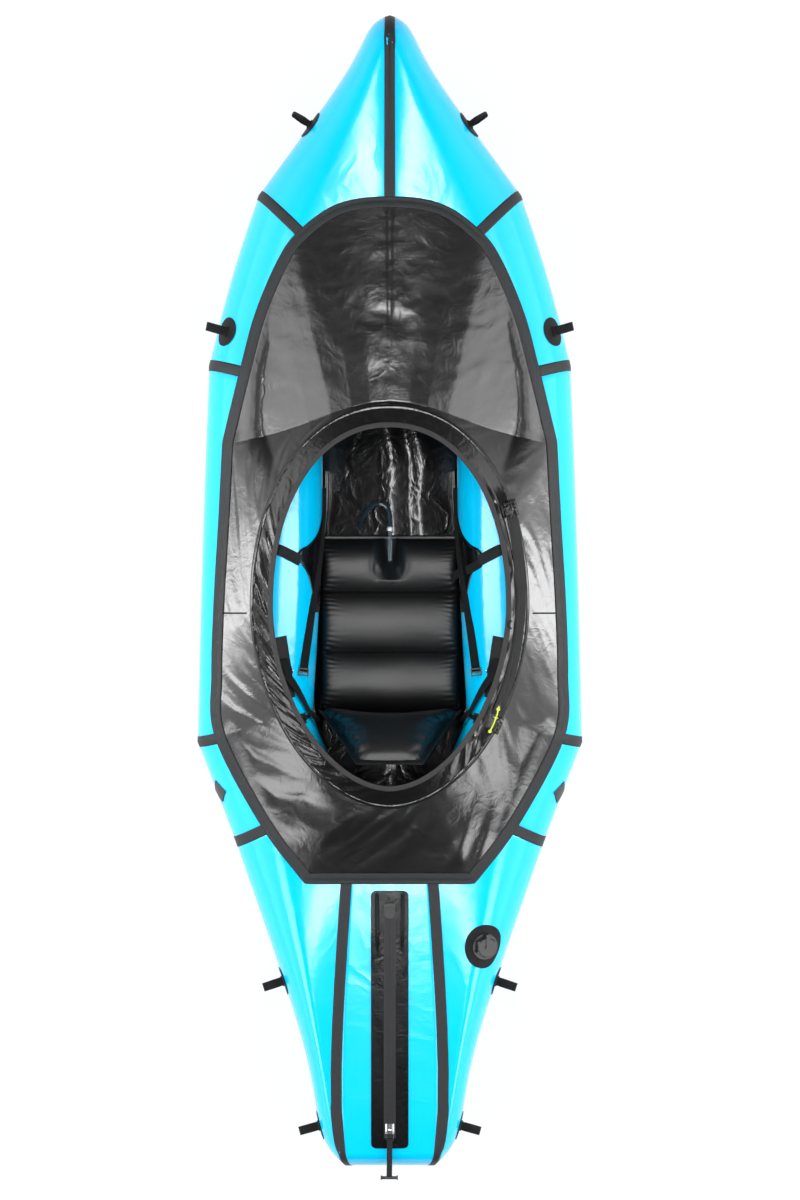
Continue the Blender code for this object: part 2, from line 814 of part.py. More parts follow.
def sleeve_profile():
    inner_radius = (HOOP_DIAMETER / 2 + CLEARANCE) / math.cos(math.radians(SLEEVE_STEP / 2))
    outer_radius = inner_radius + SLEEVE_FABRIC
    centre = Vector((BAND_WIDTH - outer_radius, SLEEVE_FABRIC - outer_radius))
    angles = [math.radians(90 - SLEEVE_STEP * i) for i in range(9)]
    points = [(0.0, SLEEVE_FABRIC)]
    points += [tuple(centre + Vector((math.cos(a), math.sin(a))) * outer_radius) for a in angles]
    points += [
        tuple(centre + Vector((math.cos(a), math.sin(a))) * inner_radius)
        for a in reversed(angles)
    ]
    points.append((0.0, 0.0))
    return points[::-1], centre


def flipped(profile):
    return [(-x, y) for x, y in profile]


def build_coaming():
    tilt = math.atan(COAMING_TILT_RISE / OPENING_LENGTH)
    matrix = Matrix.Translation((0.0, OPENING_CENTRE_Y, COAMING_HEIGHT))
    frame = new_frame("coaming_plane", matrix @ Matrix.Rotation(tilt, 4, "X"))
    profile, hoop_centre = sleeve_profile()
    add_sweep("coaming_sleeve", coaming_path(), flipped(profile), "deck", True, frame)
    hoop = [(p[0], p[1], hoop_centre.y) for p in coaming_path(hoop_centre.x)]
    add_tube("coaming_hoop", hoop, HOOP_DIAMETER, "rod", True, frame, 1)
    inner, outer = NECK_SETBACK, NECK_SETBACK + SLEEVE_FABRIC
    neck = [(outer, -CLEARANCE), (inner, -CLEARANCE), (inner, -NECK_DEPTH), (outer, -NECK_DEPTH)]
    add_sweep("coaming_neck", coaming_path(), flipped(neck), "deck", True, frame)
    low, high = -CLEARANCE, SLEEVE_FABRIC + CLEARANCE
    binding = [
        (BINDING_WIDTH, high),
        (BINDING_WIDTH, high + BINDING_THICKNESS),
        (-CLEARANCE - BINDING_THICKNESS, high + BINDING_THICKNESS),
        (-CLEARANCE - BINDING_THICKNESS, low - BINDING_THICKNESS),
        (BINDING_WIDTH, low - BINDING_THICKNESS),
        (BINDING_WIDTH, low),
        (-CLEARANCE, low),
        (-CLEARANCE, high),
    ]
    add_sweep("coaming_binding", coaming_path(), flipped(binding), "webbing", True, frame)
    build_coaming_zip(frame)
    return frame


def zip_arc(radius, start, end, steps, height):
    """Points on the zip's arc; start and end are lengths along it from its middle."""
    centre_x = opening_point(math.pi / 2).x + COAMING_ZIP_MIDDLE - COAMING_ZIP_RADIUS
    points = []
    for i in range(steps + 1):
        angle = (start + (end - start) * i / steps) / COAMING_ZIP_RADIUS
        points.append(
            (
                centre_x + radius * math.cos(angle),
                COAMING_ZIP_CENTRE_Y + radius * math.sin(angle),
                height,
            )
        )
    return points


def build_coaming_zip(frame):
    base = SLEEVE_FABRIC + CLEARANCE * 2
    half, coil = COAMING_ZIP_WIDTH / 2, COAMING_ZIP_COIL_WIDTH / 2
    tape_top = base + COAMING_ZIP_TAPE
    profile = [
        (-half, base),
        (-half, tape_top),
        (-coil, tape_top),
        (-coil, tape_top + COAMING_ZIP_COIL_HEIGHT),
        (coil, tape_top + COAMING_ZIP_COIL_HEIGHT),
        (coil, tape_top),
        (half, tape_top),
        (half, base),
    ]
    path = zip_arc(
        COAMING_ZIP_RADIUS, -COAMING_ZIP_REAR_LENGTH, COAMING_ZIP_FRONT_LENGTH, 14, 0.0
    )
    add_sweep("coaming_zip_tape", path, profile, "tape", False, frame)
    angle = -(COAMING_ZIP_REAR_LENGTH - COAMING_SLIDER_LENGTH) / COAMING_ZIP_RADIUS
    centre_x = opening_point(math.pi / 2).x + COAMING_ZIP_MIDDLE - COAMING_ZIP_RADIUS
    pivot = Matrix.Translation((centre_x, COAMING_ZIP_CENTRE_Y, 0.0))
    pivot = new_frame("coaming_zip_pivot", frame.matrix_world @ pivot)
    turn = Matrix.Rotation(angle, 4, "Z") @ Matrix.Translation((COAMING_ZIP_RADIUS, 0.0, 0.0))
    mount = new_frame("coaming_slider_frame", pivot.matrix_world @ turn)
    lowest = tape_top + COAMING_ZIP_COIL_HEIGHT + CLEARANCE
    plate = rounded_rectangle(
        COAMING_SLIDER_WIDTH, COAMING_SLIDER_LENGTH, COAMING_SLIDER_WIDTH / 3
    )
    slider = add_plate(
        "coaming_zip_slider", [plate], COAMING_SLIDER_HEIGHT, "plastic", mount, SLEEVE_FABRIC
    )
    slider.location.z = lowest + COAMING_SLIDER_HEIGHT / 2
    # The cord lies over the slider and then comes down onto the zip
    low = lowest + CLEARANCE + ZIP_CORD_DIAMETER / 2
    start = COAMING_SLIDER_LENGTH / 4
    fall_start = -COAMING_SLIDER_LENGTH / 2 - ZIP_CORD_DIAMETER
    fall = ZIP_CORD_DIAMETER * 5
    points = []
    for i in range(17):
        along = start - ZIP_CORD_LENGTH * i / 16
        share = min(max((fall_start - along) / fall, 0.0), 1.0)
        drop = COAMING_SLIDER_HEIGHT * (1 - math.cos(math.pi * share)) / 2
        sway = ZIP_CORD_DIAMETER * math.sin(math.pi * i / 16)
        points.append((sway, along, low + COAMING_SLIDER_HEIGHT - drop))
    add_tube("coaming_zip_cord", points, ZIP_CORD_DIAMETER, "cord", False, mount)


# The rear deck runs from its edge on the tubes up to the coaming's neck all round
def edge_point(width_share, length_share):
    return Vector((width_share * HULL_WIDTH / 2, length_share * HULL_LENGTH / 2, 0.0))


def front_edge(side):
    """The fore deck's edge on the tubes, from the bow to the seam on one side."""
    knots = [edge_point(w, l) for w, l, _ in DECK_FRONT_SHARES]
    mirror = Vector((-knots[1].x, knots[1].y, 0.0))
    points = smooth_points([mirror] + knots, [1] + [row[2] for row in DECK_FRONT_SHARES[:-1]])
    return [Vector((side * p.x, p.y, 0.0)) for p in points[1:]]


def rear_stations(frame, skin, side):
    """Places on the rear deck's outer line, each with its foot on the coaming's neck."""
    knots = [edge_point(row[0], row[1]) for row in DECK_REAR_SHARES]
    turns = [(row[2], row[3]) for row in DECK_REAR_SHARES]
    counts = [row[4] for row in DECK_REAR_SHARES]
    breaks = (0, DECK_SIDE_INDEX, DECK_CORNER_INDEX, len(knots) - 1)
    outline, angles = [], []
    for a, b in zip(breaks, breaks[1:]):
        outline += smooth_points(knots[a : b + 1], counts[a:b])[:-1]
    for (angle, rise), (next_angle, next_rise), count in zip(turns, turns[1:], counts):
        for step in range(count):
            share = step / count
            angles.append(
                (angle + (next_angle - angle) * share, rise + (next_rise - rise) * share)
            )
    outline.append(knots[-1])
    angles.append(turns[-1])
    crown = (frame.matrix_world @ Vector((0.0, OPENING_LENGTH / 2, -NECK_DEPTH))).z - DECK_DROP
    side_z = top_height(skin, knots[DECK_SIDE_INDEX].x, knots[DECK_SIDE_INDEX].y) + LAY_LIFT
    stations = []
    for place_on, (angle, rise) in zip(outline, angles):
        height = top_height(skin, side * place_on.x, place_on.y) + LAY_LIFT
        height = max(height, side_z + (crown - side_z) * rise)
        foot = opening_point(math.radians(angle), NECK_SETBACK + SLEEVE_FABRIC + NECK_GAP)
        rim = Vector((side * foot.x, foot.y, NECK_LAP - NECK_DEPTH))
        edge = Vector((side * place_on.x, place_on.y, height))
        stations.append((edge, frame.matrix_world @ rim))
    return stations


def build_deck(frame, skin):
    down = Vector((0.0, 0.0, -1.0))
    right, left = rear_stations(frame, skin, RIGHT), rear_stations(frame, skin, LEFT)
    loop = right + left[-2:0:-1]
    rows = [[edge.lerp(rim, share) for share in DECK_ROW_SHARES] for edge, rim in loop]
    rows = settle(skin, rows, [down] * len(rows), LAY_LIFT, True)
    rear = add_sheet("rear_deck", rows, DECK_FABRIC, "deck", closed=True)
    rim = [row[0] for row in rows]
    seam = rim[-DECK_SEAM_STATIONS:] + rim[: DECK_SEAM_STATIONS + 1]
    front = front_edge(LEFT)[::-1] + front_edge(RIGHT)[1:]
    rows = []
    for i in range(len(front)):
        point = front[i].copy()
        point.z = top_height(skin, point.x, point.y) + LAY_LIFT
        inner = along_line(seam, i / (len(front) - 1)) + Vector((0.0, CLEARANCE * 3, CLEARANCE))
        if i in (0, len(front) - 1):
            point = inner + Vector((0.0, DECK_CORNER_WIDTH, 0.0))
            point.z = top_height(skin, point.x, point.y) + LAY_LIFT
        rows.append([point.lerp(inner, share) for share in DECK_ROW_SHARES])
    rows = settle(skin, rows, [down] * len(rows), LAY_LIFT)
    fore = add_sheet("fore_deck", rows, DECK_FABRIC, "deck")
    edge = front_edge(RIGHT)[:-1]
    edge += [Vector((e.x, e.y, 0.0)) for e, rim in right[DECK_SEAM_STATIONS:]]
    loop = edge + [Vector((-p.x, p.y, 0.0)) for p in edge[-2:0:-1]]
    return [fore, rear], loop


def along_line(points, share):
    """The place at a share of a line's whole length."""
    lengths = [(b - a).length for a, b in zip(points, points[1:])]
    left = sum(lengths) * share
    for a, b, length in zip(points, points[1:], lengths):
        if left <= length:
            return a.lerp(b, left / length)
        left -= length
    return points[-1].copy()


def loop_normals(loop):
    normals = []
    for i, point in enumerate(loop):
        before = (point - loop[i - 1]).normalized()
        after = (loop[(i + 1) % len(loop)] - point).normalized()
        normal = Vector((before.y + after.y, -before.x - after.x)).normalized()
        if normal.dot(point.xy - Vector((0.0, OPENING_CENTRE_Y))) < 0:
            normal = -normal
        stretch = max(abs(normal.dot(Vector((after.y, -after.x)))), 1 / 2)
        normals.append(normal / stretch)
    return normals


def build_deck_tape(loop, hull_skin, deck_skin):
    rows = []
    over_rim = LAY_LIFT + DECK_FABRIC + CLEARANCE * 2
    rim_step = DECK_FABRIC * 2
    for point, normal in zip(loop, loop_normals(loop)):
        normal = Vector((normal.x, normal.y, 0.0))
        out = point + normal * (TAPE_WIDTH / 2)
        rim = point + normal * rim_step
        inside = point - normal * (TAPE_WIDTH / 2)
        rows.append(
            [
                Vector((out.x, out.y, top_height(hull_skin, out.x, out.y) + LAY_LIFT)),
                Vector((rim.x, rim.y, top_height(hull_skin, rim.x, rim.y) + over_rim)),
                Vector((inside.x, inside.y, top_height(deck_skin, inside.x, inside.y) + LAY_LIFT)),
            ]
        )
    down = [Vector((0.0, 0.0, -1.0))] * len(rows)
    rows = settle(deck_skin, rows, down, LAY_LIFT, True)
    return add_sheet("deck_edge_tape", rows, TAPE_THICKNESS, "tape", closed=True)


# Tape laid over the hull: three points across at each place along its path
def taped_strip(name, path, directions, across, skin, thickness, colour, width=TAPE_WIDTH):
    rows = []
    for point, direction, side in zip(path, directions, across):
        rows.append(
            [
                lay(skin, point + side * (width * share), direction, LAY_LIFT)
                for share in (-1 / 2, 0.0, 1 / 2)
            ]
        )
    rows = settle(skin, rows, directions, LAY_LIFT)
    return add_sheet(name, rows, thickness, colour, up=lambda p: -directions[len(directions) // 2])


def build_seam_tapes(sections, skin, deck_front_y, deck_rear_y):
    down = Vector((0.0, 0.0, -1.0))
    count = 8
    nose = sections[RIGHT]["bow"]
    front = nose.outer.y - BOW_TIP_REACH
    tape_edge = deck_front_y + TAPE_WIDTH / 2
    path, directions = [], []
    for i in range(count):
        y = tape_edge + CLEARANCE * 2 + (front - tape_edge) * i / (count - 1)
        path.append(Vector((0.0, y, TUBE_DIAMETER)))
        directions.append(down)
    centre = Vector((0.0, front, HULL_BASE + BOW_RISE + BOW_TIP_HEIGHT / 2))
    for i in range(1, 7):
        angle = math.radians(90 - 18 * i)
        direction = -Vector((0.0, math.cos(angle), math.sin(angle)))
        path.append(centre - direction * (BOW_TIP_REACH / 2))
        directions.append(direction)
    across = [Vector((1.0, 0.0, 0.0))] * len(path)
    taped_strip("bow_seam_tape", path, directions, across, skin, TAPE_THICKNESS, "tape")
    for side, word in ((LEFT, "left"), (RIGHT, "right")):
        section = sections[side]["stern"]
        length = (section.inner - section.outer).length
        start = section.outer.y + STERN_END_REACH
        end = deck_rear_y - TAPE_WIDTH / 2 - CLEARANCE * 2
        path = []
        for i in range(10):
            y = start + (end - start) * i / 9
            share = (y - section.outer.y) / length
            bow = side * STERN_SEAM_BOW * math.sin(math.pi * math.sqrt(share))
            x = section.outer.x + (section.inner.x - section.outer.x) * share + bow
            path.append(Vector((x, y, TUBE_DIAMETER)))
        across = [Vector((1.0, 0.0, 0.0))] * len(path)
        directions = [down] * len(path)
        name = f"stern_seam_tape_{word}"
        taped_strip(name, path, directions, across, skin, TAPE_THICKNESS, "tape")


# Round patches follow the hull under them
def round_patch(name, skin, matrix, radius, thickness, colour, hole=0.0, segments=16):
    outward = matrix.to_3x3() @ Vector((0.0, 0.0, 1.0))
    rows = []
    for i in range(segments):
        angle = 2 * math.pi * i / segments
        spoke = Vector((math.cos(angle), math.sin(angle), 0.0))
        radii = (hole, (hole + radius) / 2, radius)
        rows.append([lay(skin, matrix @ (spoke * r), -outward, LAY_LIFT) for r in radii])
    rows = settle(skin, rows, [-outward] * segments, LAY_LIFT, True)
    if not hole:
        heights = [row[0].dot(outward) for row in rows]
        middle = rows[heights.index(max(heights))][0]
        rows = [[middle] + row[1:] for row in rows]
    mesh = grid_mesh(name, rows, lambda p: outward, True)
    mesh.shade_smooth()
    return thicken(place(name, mesh, colour), thickness)


def surface_frame(skin, point, direction):
    """A frame on the skin where the ray meets it: Z out of the hull, X along its length."""
    direction = direction.normalized()
    hit, normal = skin.ray_cast(point - direction * HULL_WIDTH, direction)[:2]
    if normal.dot(direction) > 0:
        normal = -normal
    along = Vector((0.0, 1.0, 0.0))
    return frame_matrix(hit, along, normal)


def loop_outline(layer, gap, length, steps=5):
    """Outer and inner outline of a webbing loop, from its root outwards."""
    outer, inner = [], []
    for shift, out in ((layer, outer), (0.0, inner)):
        half = gap / 2 + shift
        root = gap / 4 + shift
        top = [(0.0, root), (length / 2, half)]
        for i in range(steps + 1):
            angle = math.radians(90 - 180 * i / steps)
            bend = gap / 2
            top.append((length - bend + half * math.cos(angle), half * math.sin(angle)))
        out += top[:1] + top[1:] + [(length / 2, -half), (0.0, -root)]
    return outer, inner


def build_tie_downs(skin):
    for place_name, length_share, height_share in TIE_PLACE_SHARES:
        for side, word in ((LEFT, "left"), (RIGHT, "right")):
            height = HULL_BASE + TUBE_DIAMETER * height_share
            start = Vector((side * HULL_WIDTH / 2, length_share * HULL_LENGTH / 2, height))
            matrix = surface_frame(skin, start, Vector((-side, 0.0, 0.0)))
            name = f"{place_name}_tie_down_{word}"
            patch = round_patch(
                name, skin, matrix, TIE_PATCH_RADIUS, TIE_PATCH_THICKNESS, "webbing", segments=14
            )
            loop = webbing_loop(name + "_loop", matrix)
            add_boolean(patch, loop, "UNION")


def webbing_loop(name, matrix):
    normal = matrix.to_3x3() @ Vector((0.0, 0.0, 1.0))
    along = matrix.to_3x3() @ Vector((1.0, 0.0, 0.0))
    flat = Vector((normal.x, normal.y, 0.0)).normalized()
    out = (flat + normal).normalized()
    rise = along.cross(out).normalized()
    if rise.z < 0:
        rise = -rise
    root = matrix.translation + normal * (LAY_LIFT + TIE_PATCH_THICKNESS / 2)
    outer, inner = loop_outline(WEBBING_THICKNESS, LOOP_GAP, LOOP_LENGTH)
    bm = bmesh.new()
    ends = []
    for share in (-1 / 2, 1 / 2):
        loops = []
        for outline in (outer, inner):
            verts = []
            for reach, height in outline:
                point = root + out * reach + rise * height + along * (LOOP_WIDTH * share)
                if reach == 0:
                    point -= out * ((point - root).dot(normal) / out.dot(normal))
                verts.append(bm.verts.new(point))
            loops.append(verts)
        ends.append(loops)
    count = len(outer)
    for i in range(count - 1):
        for ring in (0, 1):
            a, b = ends[0][ring], ends[1][ring]
            bm.faces.new((a[i], a[i + 1], b[i + 1], b[i]))
        for loops in ends:
            a, b = loops
            bm.faces.new((a[i], a[i + 1], b[i + 1], b[i]))
    for i in (0, count - 1):
        bm.faces.new((ends[0][0][i], ends[1][0][i], ends[1][1][i], ends[0][1][i]))
    return place(name, mesh_from(bm, name, False), None)


# The cargo zip runs down the straight top of the stern's centre panel
def build_cargo(sections):
    top = HULL_BASE + TUBE_DIAMETER
    s = sections[RIGHT]["stern"]
    start = Vector((0.0, s.inner.y - TUBE_RADIUS, top))
    end = Vector((0.0, s.outer.y + STERN_END_REACH, HULL_BASE + STERN_RISE + STERN_END_HEIGHT))
    aft = (end - start).normalized()
    across = Vector((1.0, 0.0, 0.0))
    up = across.cross(-aft)
    frame = new_frame("cargo_track", frame_matrix(start, across, up))
    return frame


def box_outline(width, y_from, y_to):
    return [(-width / 2, y_from), (width / 2, y_from), (width / 2, y_to), (-width / 2, y_to)]


def add_prism(name, outline, start, end, colour, parent):
    """An outline across the track, in X and Z, run along Y from start to end."""
    bm = bmesh.new()
    face = bm.faces.new([bm.verts.new((x, start, z)) for x, z in outline])
    grown = bmesh.ops.extrude_face_region(bm, geom=[face])
    verts = [v for v in grown["geom"] if isinstance(v, bmesh.types.BMVert)]
    bmesh.ops.translate(bm, verts=verts, vec=(0.0, end - start, 0.0))
    return place(name, mesh_from(bm, name, False), colour, parent)


def build_cargo_zip(frame, centre_panel):
    slot_start = -CARGO_ZIP_START - CARGO_SLIDER_LENGTH / 2
    slot_end = -CARGO_ZIP_START - CARGO_ZIP_LENGTH + CARGO_SLIDER_LENGTH
    slot = [
        (-CARGO_SLOT_WIDTH / 2, -TUBE_RADIUS / 4),
        (CARGO_SLOT_WIDTH / 2, -TUBE_RADIUS / 4),
        (CARGO_SLOT_WIDTH / 2, TUBE_RADIUS / 4),
        (-CARGO_SLOT_WIDTH / 2, TUBE_RADIUS / 4),
    ]
    cutter = add_prism("cargo_slot", slot, slot_start, slot_end, None, frame)
    add_boolean(centre_panel, cutter, "DIFFERENCE")
    patch_centre = -CARGO_PATCH_START - CARGO_PATCH_LENGTH / 2
    outline = rounded_rectangle(
        CARGO_PATCH_WIDTH, CARGO_PATCH_LENGTH, CARGO_PATCH_CORNER, 3, patch_centre
    )
    hole = box_outline(CARGO_SLOT_WIDTH, slot_end, slot_start)
    patch = add_plate("cargo_patch", [outline, hole], CARGO_PATCH_THICKNESS, "deck", frame)
    patch.location.z = CLEARANCE + CARGO_PATCH_THICKNESS / 2
    base = CARGO_PATCH_THICKNESS + CLEARANCE * 2
    half, groove = CARGO_ZIP_WIDTH / 2, CARGO_RAIL_GROOVE / 2
    rail = groove + CARGO_RAIL_WIDTH
    mid = base + CARGO_ZIP_BASE
    high = mid + CARGO_RAIL_HEIGHT
    profile = [
        (-half, base),
        (half, base),
        (half, mid),
        (rail, mid),
        (rail, high),
        (groove, high),
        (groove, mid),
        (-groove, mid),
        (-groove, high),
        (-rail, high),
        (-rail, mid),
        (-half, mid),
    ]
    zip_start = -CARGO_ZIP_START
    zip_end = zip_start - CARGO_ZIP_LENGTH
    add_prism("cargo_zip_rails", profile, zip_start, zip_end, "plastic", frame)
    build_cargo_dock(frame, base, zip_start)
    build_cargo_slider(frame, mid, high, zip_end)


def build_cargo_dock(frame, base, zip_start):
    """The moulded end dock with its four short ribs, ahead of the rails."""
    low = zip_start + CLEARANCE
    body = rounded_rectangle(
        CARGO_DOCK_WIDTH,
        CARGO_DOCK_LENGTH,
        CARGO_DOCK_WIDTH / 4,
        2,
        low + CARGO_DOCK_LENGTH / 2,
    )
    height = CARGO_DOCK_HEIGHT - CARGO_DOCK_RIB
    dock = add_plate("cargo_zip_dock", [body], height, "plastic", frame, CARGO_DOCK_RIB / 2)
    dock.location.z = base + height / 2
    pitch = CARGO_DOCK_WIDTH / 5
    for i in range(4):
        x = (i - 3 / 2) * pitch
        lowest = base + height - CARGO_DOCK_RIB / 2
        rib = [
            (x - pitch / 4, lowest),
            (x + pitch / 4, lowest),
            (x + pitch / 4, base + CARGO_DOCK_HEIGHT),
            (x - pitch / 4, base + CARGO_DOCK_HEIGHT),
        ]
        start = low + CARGO_DOCK_LENGTH / 2
        end = low + CARGO_DOCK_LENGTH - CARGO_DOCK_WIDTH / 5
        item = add_prism(f"cargo_dock_rib_{i}", rib, start, end, None, frame)
        add_boolean(dock, item, "UNION")


def build_cargo_slider(frame, mid, high, zip_end):
    wall = CARGO_SLIDER_WALL
    rail = CARGO_RAIL_GROOVE / 2 + CARGO_RAIL_WIDTH + CLEARANCE
    half = CARGO_SLIDER_WIDTH / 2
    low = mid + CLEARANCE
    roof = high + CLEARANCE
    profile = [
        (-half, low),
        (-rail, low),
        (-rail, roof),
        (rail, roof),
        (rail, low),
        (half, low),
        (half, low + wall),
        (rail + wall, roof + wall),
        (-rail - wall, roof + wall),
        (-half, low + wall),
    ]
    centre = Matrix.Translation((0.0, zip_end + CARGO_SLIDER_LENGTH, 0.0))
    slide = new_frame("cargo_slider_frame", frame.matrix_world @ centre)
    length = CARGO_SLIDER_LENGTH
    body = add_prism("cargo_zip_slider", profile, -length / 2, length / 2, "metal", slide)
    # The bridge on the roof holds the wire bail's front bar
    top = roof + wall
    wire = CARGO_BAIL_WIRE
    bar_y = -length / 4
    bar_z = top + wire / 2 + CLEARANCE
    bridge_width = CARGO_SLIDER_WIDTH / 3
    block = [
        (bar_y - wire * 3 / 2, top - wall / 2),
        (bar_y + wire * 3 / 2, top - wall / 2),
        (bar_y + wire * 3 / 2, bar_z + wire / 2),
        (bar_y + wire, bar_z + wire * 3 / 2),
        (bar_y - wire, bar_z + wire * 3 / 2),
        (bar_y - wire * 3 / 2, bar_z + wire / 2),
    ]
    bridge = add_cross_prism("cargo_slider_bridge", block, bridge_width, slide)
    add_boolean(body, bridge, "UNION")
    radius = wire / 2 + CLEARANCE * 2
    angles = [math.radians(45 * i + 22) for i in range(8)]
    hole = [(bar_y + math.cos(a) * radius, bar_z + math.sin(a) * radius) for a in angles]
    bore = add_cross_prism("cargo_slider_bore", hole, bridge_width * 2, slide)
    add_boolean(body, bore, "DIFFERENCE")
    bail_frame = new_frame(
        "cargo_bail_hinge", slide.matrix_world @ Matrix.Translation((0.0, bar_y, bar_z))
    )
    bail = rounded_rectangle(
        CARGO_BAIL_WIDTH, CARGO_BAIL_LENGTH, wire, 2, -CARGO_BAIL_LENGTH / 2
    )
    add_tube("cargo_zip_bail", bail, wire, "metal", True, bail_frame, 1)
    build_cargo_pull(bail_frame)


def add_cross_prism(name, outline, width, parent):
    """An outline in Y and Z run across the track in X."""
    bm = bmesh.new()
    face = bm.faces.new([bm.verts.new((-width / 2, y, z)) for y, z in outline])
    grown = bmesh.ops.extrude_face_region(bm, geom=[face])
    verts = [v for v in grown["geom"] if isinstance(v, bmesh.types.BMVert)]
    bmesh.ops.translate(bm, verts=verts, vec=(width, 0.0, 0.0))
    return place(name, mesh_from(bm, name, False), None, parent)


def build_cargo_pull(bail_frame):
    """A webbing strap that loops round the bail's rear bar and carries a T bar."""
    hinge = bail_frame.matrix_world @ Matrix.Translation((0.0, -CARGO_BAIL_LENGTH, 0.0))
    hinge = new_frame("cargo_pull_hinge", hinge)
    ring = CARGO_BAIL_WIRE / 2 + CLEARANCE * 2
    layer = WEBBING_THICKNESS
    outer_radius = ring + layer
    outline = []
    for i in range(9):
        angle = math.radians(-150 + 300 * i / 8)
        outline.append((math.cos(angle) * outer_radius, math.sin(angle) * outer_radius))
    half = layer * 7 / 8
    bar = CARGO_PULL_LENGTH - CARGO_BAR_DIAMETER / 4
    outline.append((-outer_radius * 2, half))
    outline.append((-bar, half))
    outline.append((-bar, -half))
    outline.append((-outer_radius * 2, -half))
    hole = [
        (math.cos(math.radians(45 * i + 20)) * ring, math.sin(math.radians(45 * i + 20)) * ring)
        for i in range(8)
    ]
    upright = Matrix.Rotation(math.radians(90), 4, "Z") @ Matrix.Rotation(math.radians(90), 4, "X")
    plane = new_frame("cargo_pull_plane", hinge.matrix_world @ upright)
    strap = add_plate("cargo_zip_pull", [outline, hole], CARGO_PULL_WIDTH, "webbing", plane)
    bm = bmesh.new()
    radius = CARGO_BAR_DIAMETER / 2
    bmesh.ops.create_cone(
        bm, cap_ends=True, segments=12, radius1=radius, radius2=radius, depth=CARGO_BAR_LENGTH
    )
    bmesh.ops.translate(bm, verts=bm.verts, vec=(-CARGO_PULL_LENGTH, 0.0, 0.0))
    bar_item = place("cargo_pull_bar", mesh_from(bm, "cargo_pull_bar", False), None, plane)
    add_boolean(strap, bar_item, "UNION")


# The valve stands square to the hull's skin on the right of the stern
def build_valve(skin):
    start = Vector((VALVE_X, VALVE_Y, TUBE_RADIUS))
    down = Vector((0.0, 0.0, -1.0))
    hit, normal = skin.ray_cast(start - down * HULL_WIDTH, down)[:2]
    if normal.z < 0:
        normal = -normal
    frame = new_frame("valve_axis", frame_matrix(hit, Vector((0.0, 1.0, 0.0)), normal))
    return frame


def build_valve_parts(frame, skin, panel):
    hole = VALVE_BARREL_RADIUS + CLEARANCE
    matrix = frame.matrix_world
    round_patch(
        "valve_patch", skin, matrix, VALVE_PATCH_RADIUS, VALVE_PATCH_THICKNESS, "webbing", hole, 20
    )
    depth = VALVE_BARREL_DEPTH
    cutter = add_turned(
        "valve_hole", [(0.0, depth), (hole, depth), (hole, -depth), (0.0, -depth)], 20, None, frame
    )
    add_boolean(panel, cutter, "DIFFERENCE")
    base = LAY_LIFT + VALVE_PATCH_THICKNESS + WRAP_LIFT + CLEARANCE
    flange = base + VALVE_FLANGE_THICKNESS
    collar = flange + VALVE_COLLAR_HEIGHT
    bottom = -VALVE_BARREL_DEPTH
    profile = [
        (VALVE_BORE_RADIUS, collar),
        (VALVE_COLLAR_RADIUS, collar),
        (VALVE_COLLAR_RADIUS, flange),
        (VALVE_FLANGE_RADIUS - VALVE_FLANGE_THICKNESS / 2, flange),
        (VALVE_FLANGE_RADIUS, base + VALVE_FLANGE_THICKNESS / 2),
        (VALVE_FLANGE_RADIUS, base),
        (VALVE_BARREL_RADIUS, base),
        (VALVE_BARREL_RADIUS, bottom),
        (VALVE_BORE_RADIUS, bottom),
    ]
    body = add_turned("valve_body", profile, 24, "plastic", frame)
    spider_top = base
    spider_low = spider_top - VALVE_SPIDER_THICKNESS
    add_spider(body, frame, spider_low, spider_top)
    build_plunger(frame, bottom, spider_top)
    build_cap(frame, flange, collar)


def add_spider(body, frame, low, high):
    """Three arms that carry the plunger's guide hub in the bore."""
    hub = add_turned(
        "valve_hub",
        [
            (VALVE_STEM_RADIUS + CLEARANCE, high),
            (VALVE_HUB_RADIUS, high),
            (VALVE_HUB_RADIUS, low),
            (VALVE_STEM_RADIUS + CLEARANCE, low),
        ],
        16,
        None,
        frame,
    )
    inner = (VALVE_STEM_RADIUS + VALVE_HUB_RADIUS) / 2
    outer = (VALVE_BORE_RADIUS + VALVE_BARREL_RADIUS) / 2
    half = VALVE_SPIDER_THICKNESS / 2
    for i in range(3):
        spoke = Matrix.Rotation(math.radians(120 * i), 4, "Z")
        bm = bmesh.new()
        bmesh.ops.create_cube(bm, size=1.0)
        bmesh.ops.scale(bm, verts=bm.verts, vec=(outer - inner, half * 2, (high - low) * 7 / 8))
        bmesh.ops.translate(bm, verts=bm.verts, vec=((outer + inner) / 2, 0.0, (high + low) / 2))
        bmesh.ops.transform(bm, matrix=spoke, verts=bm.verts)
        arm = place(f"valve_arm_{i}", mesh_from(bm, "valve_arm", False), None, frame)
        add_boolean(body, arm, "UNION")
    add_boolean(body, hub, "UNION")


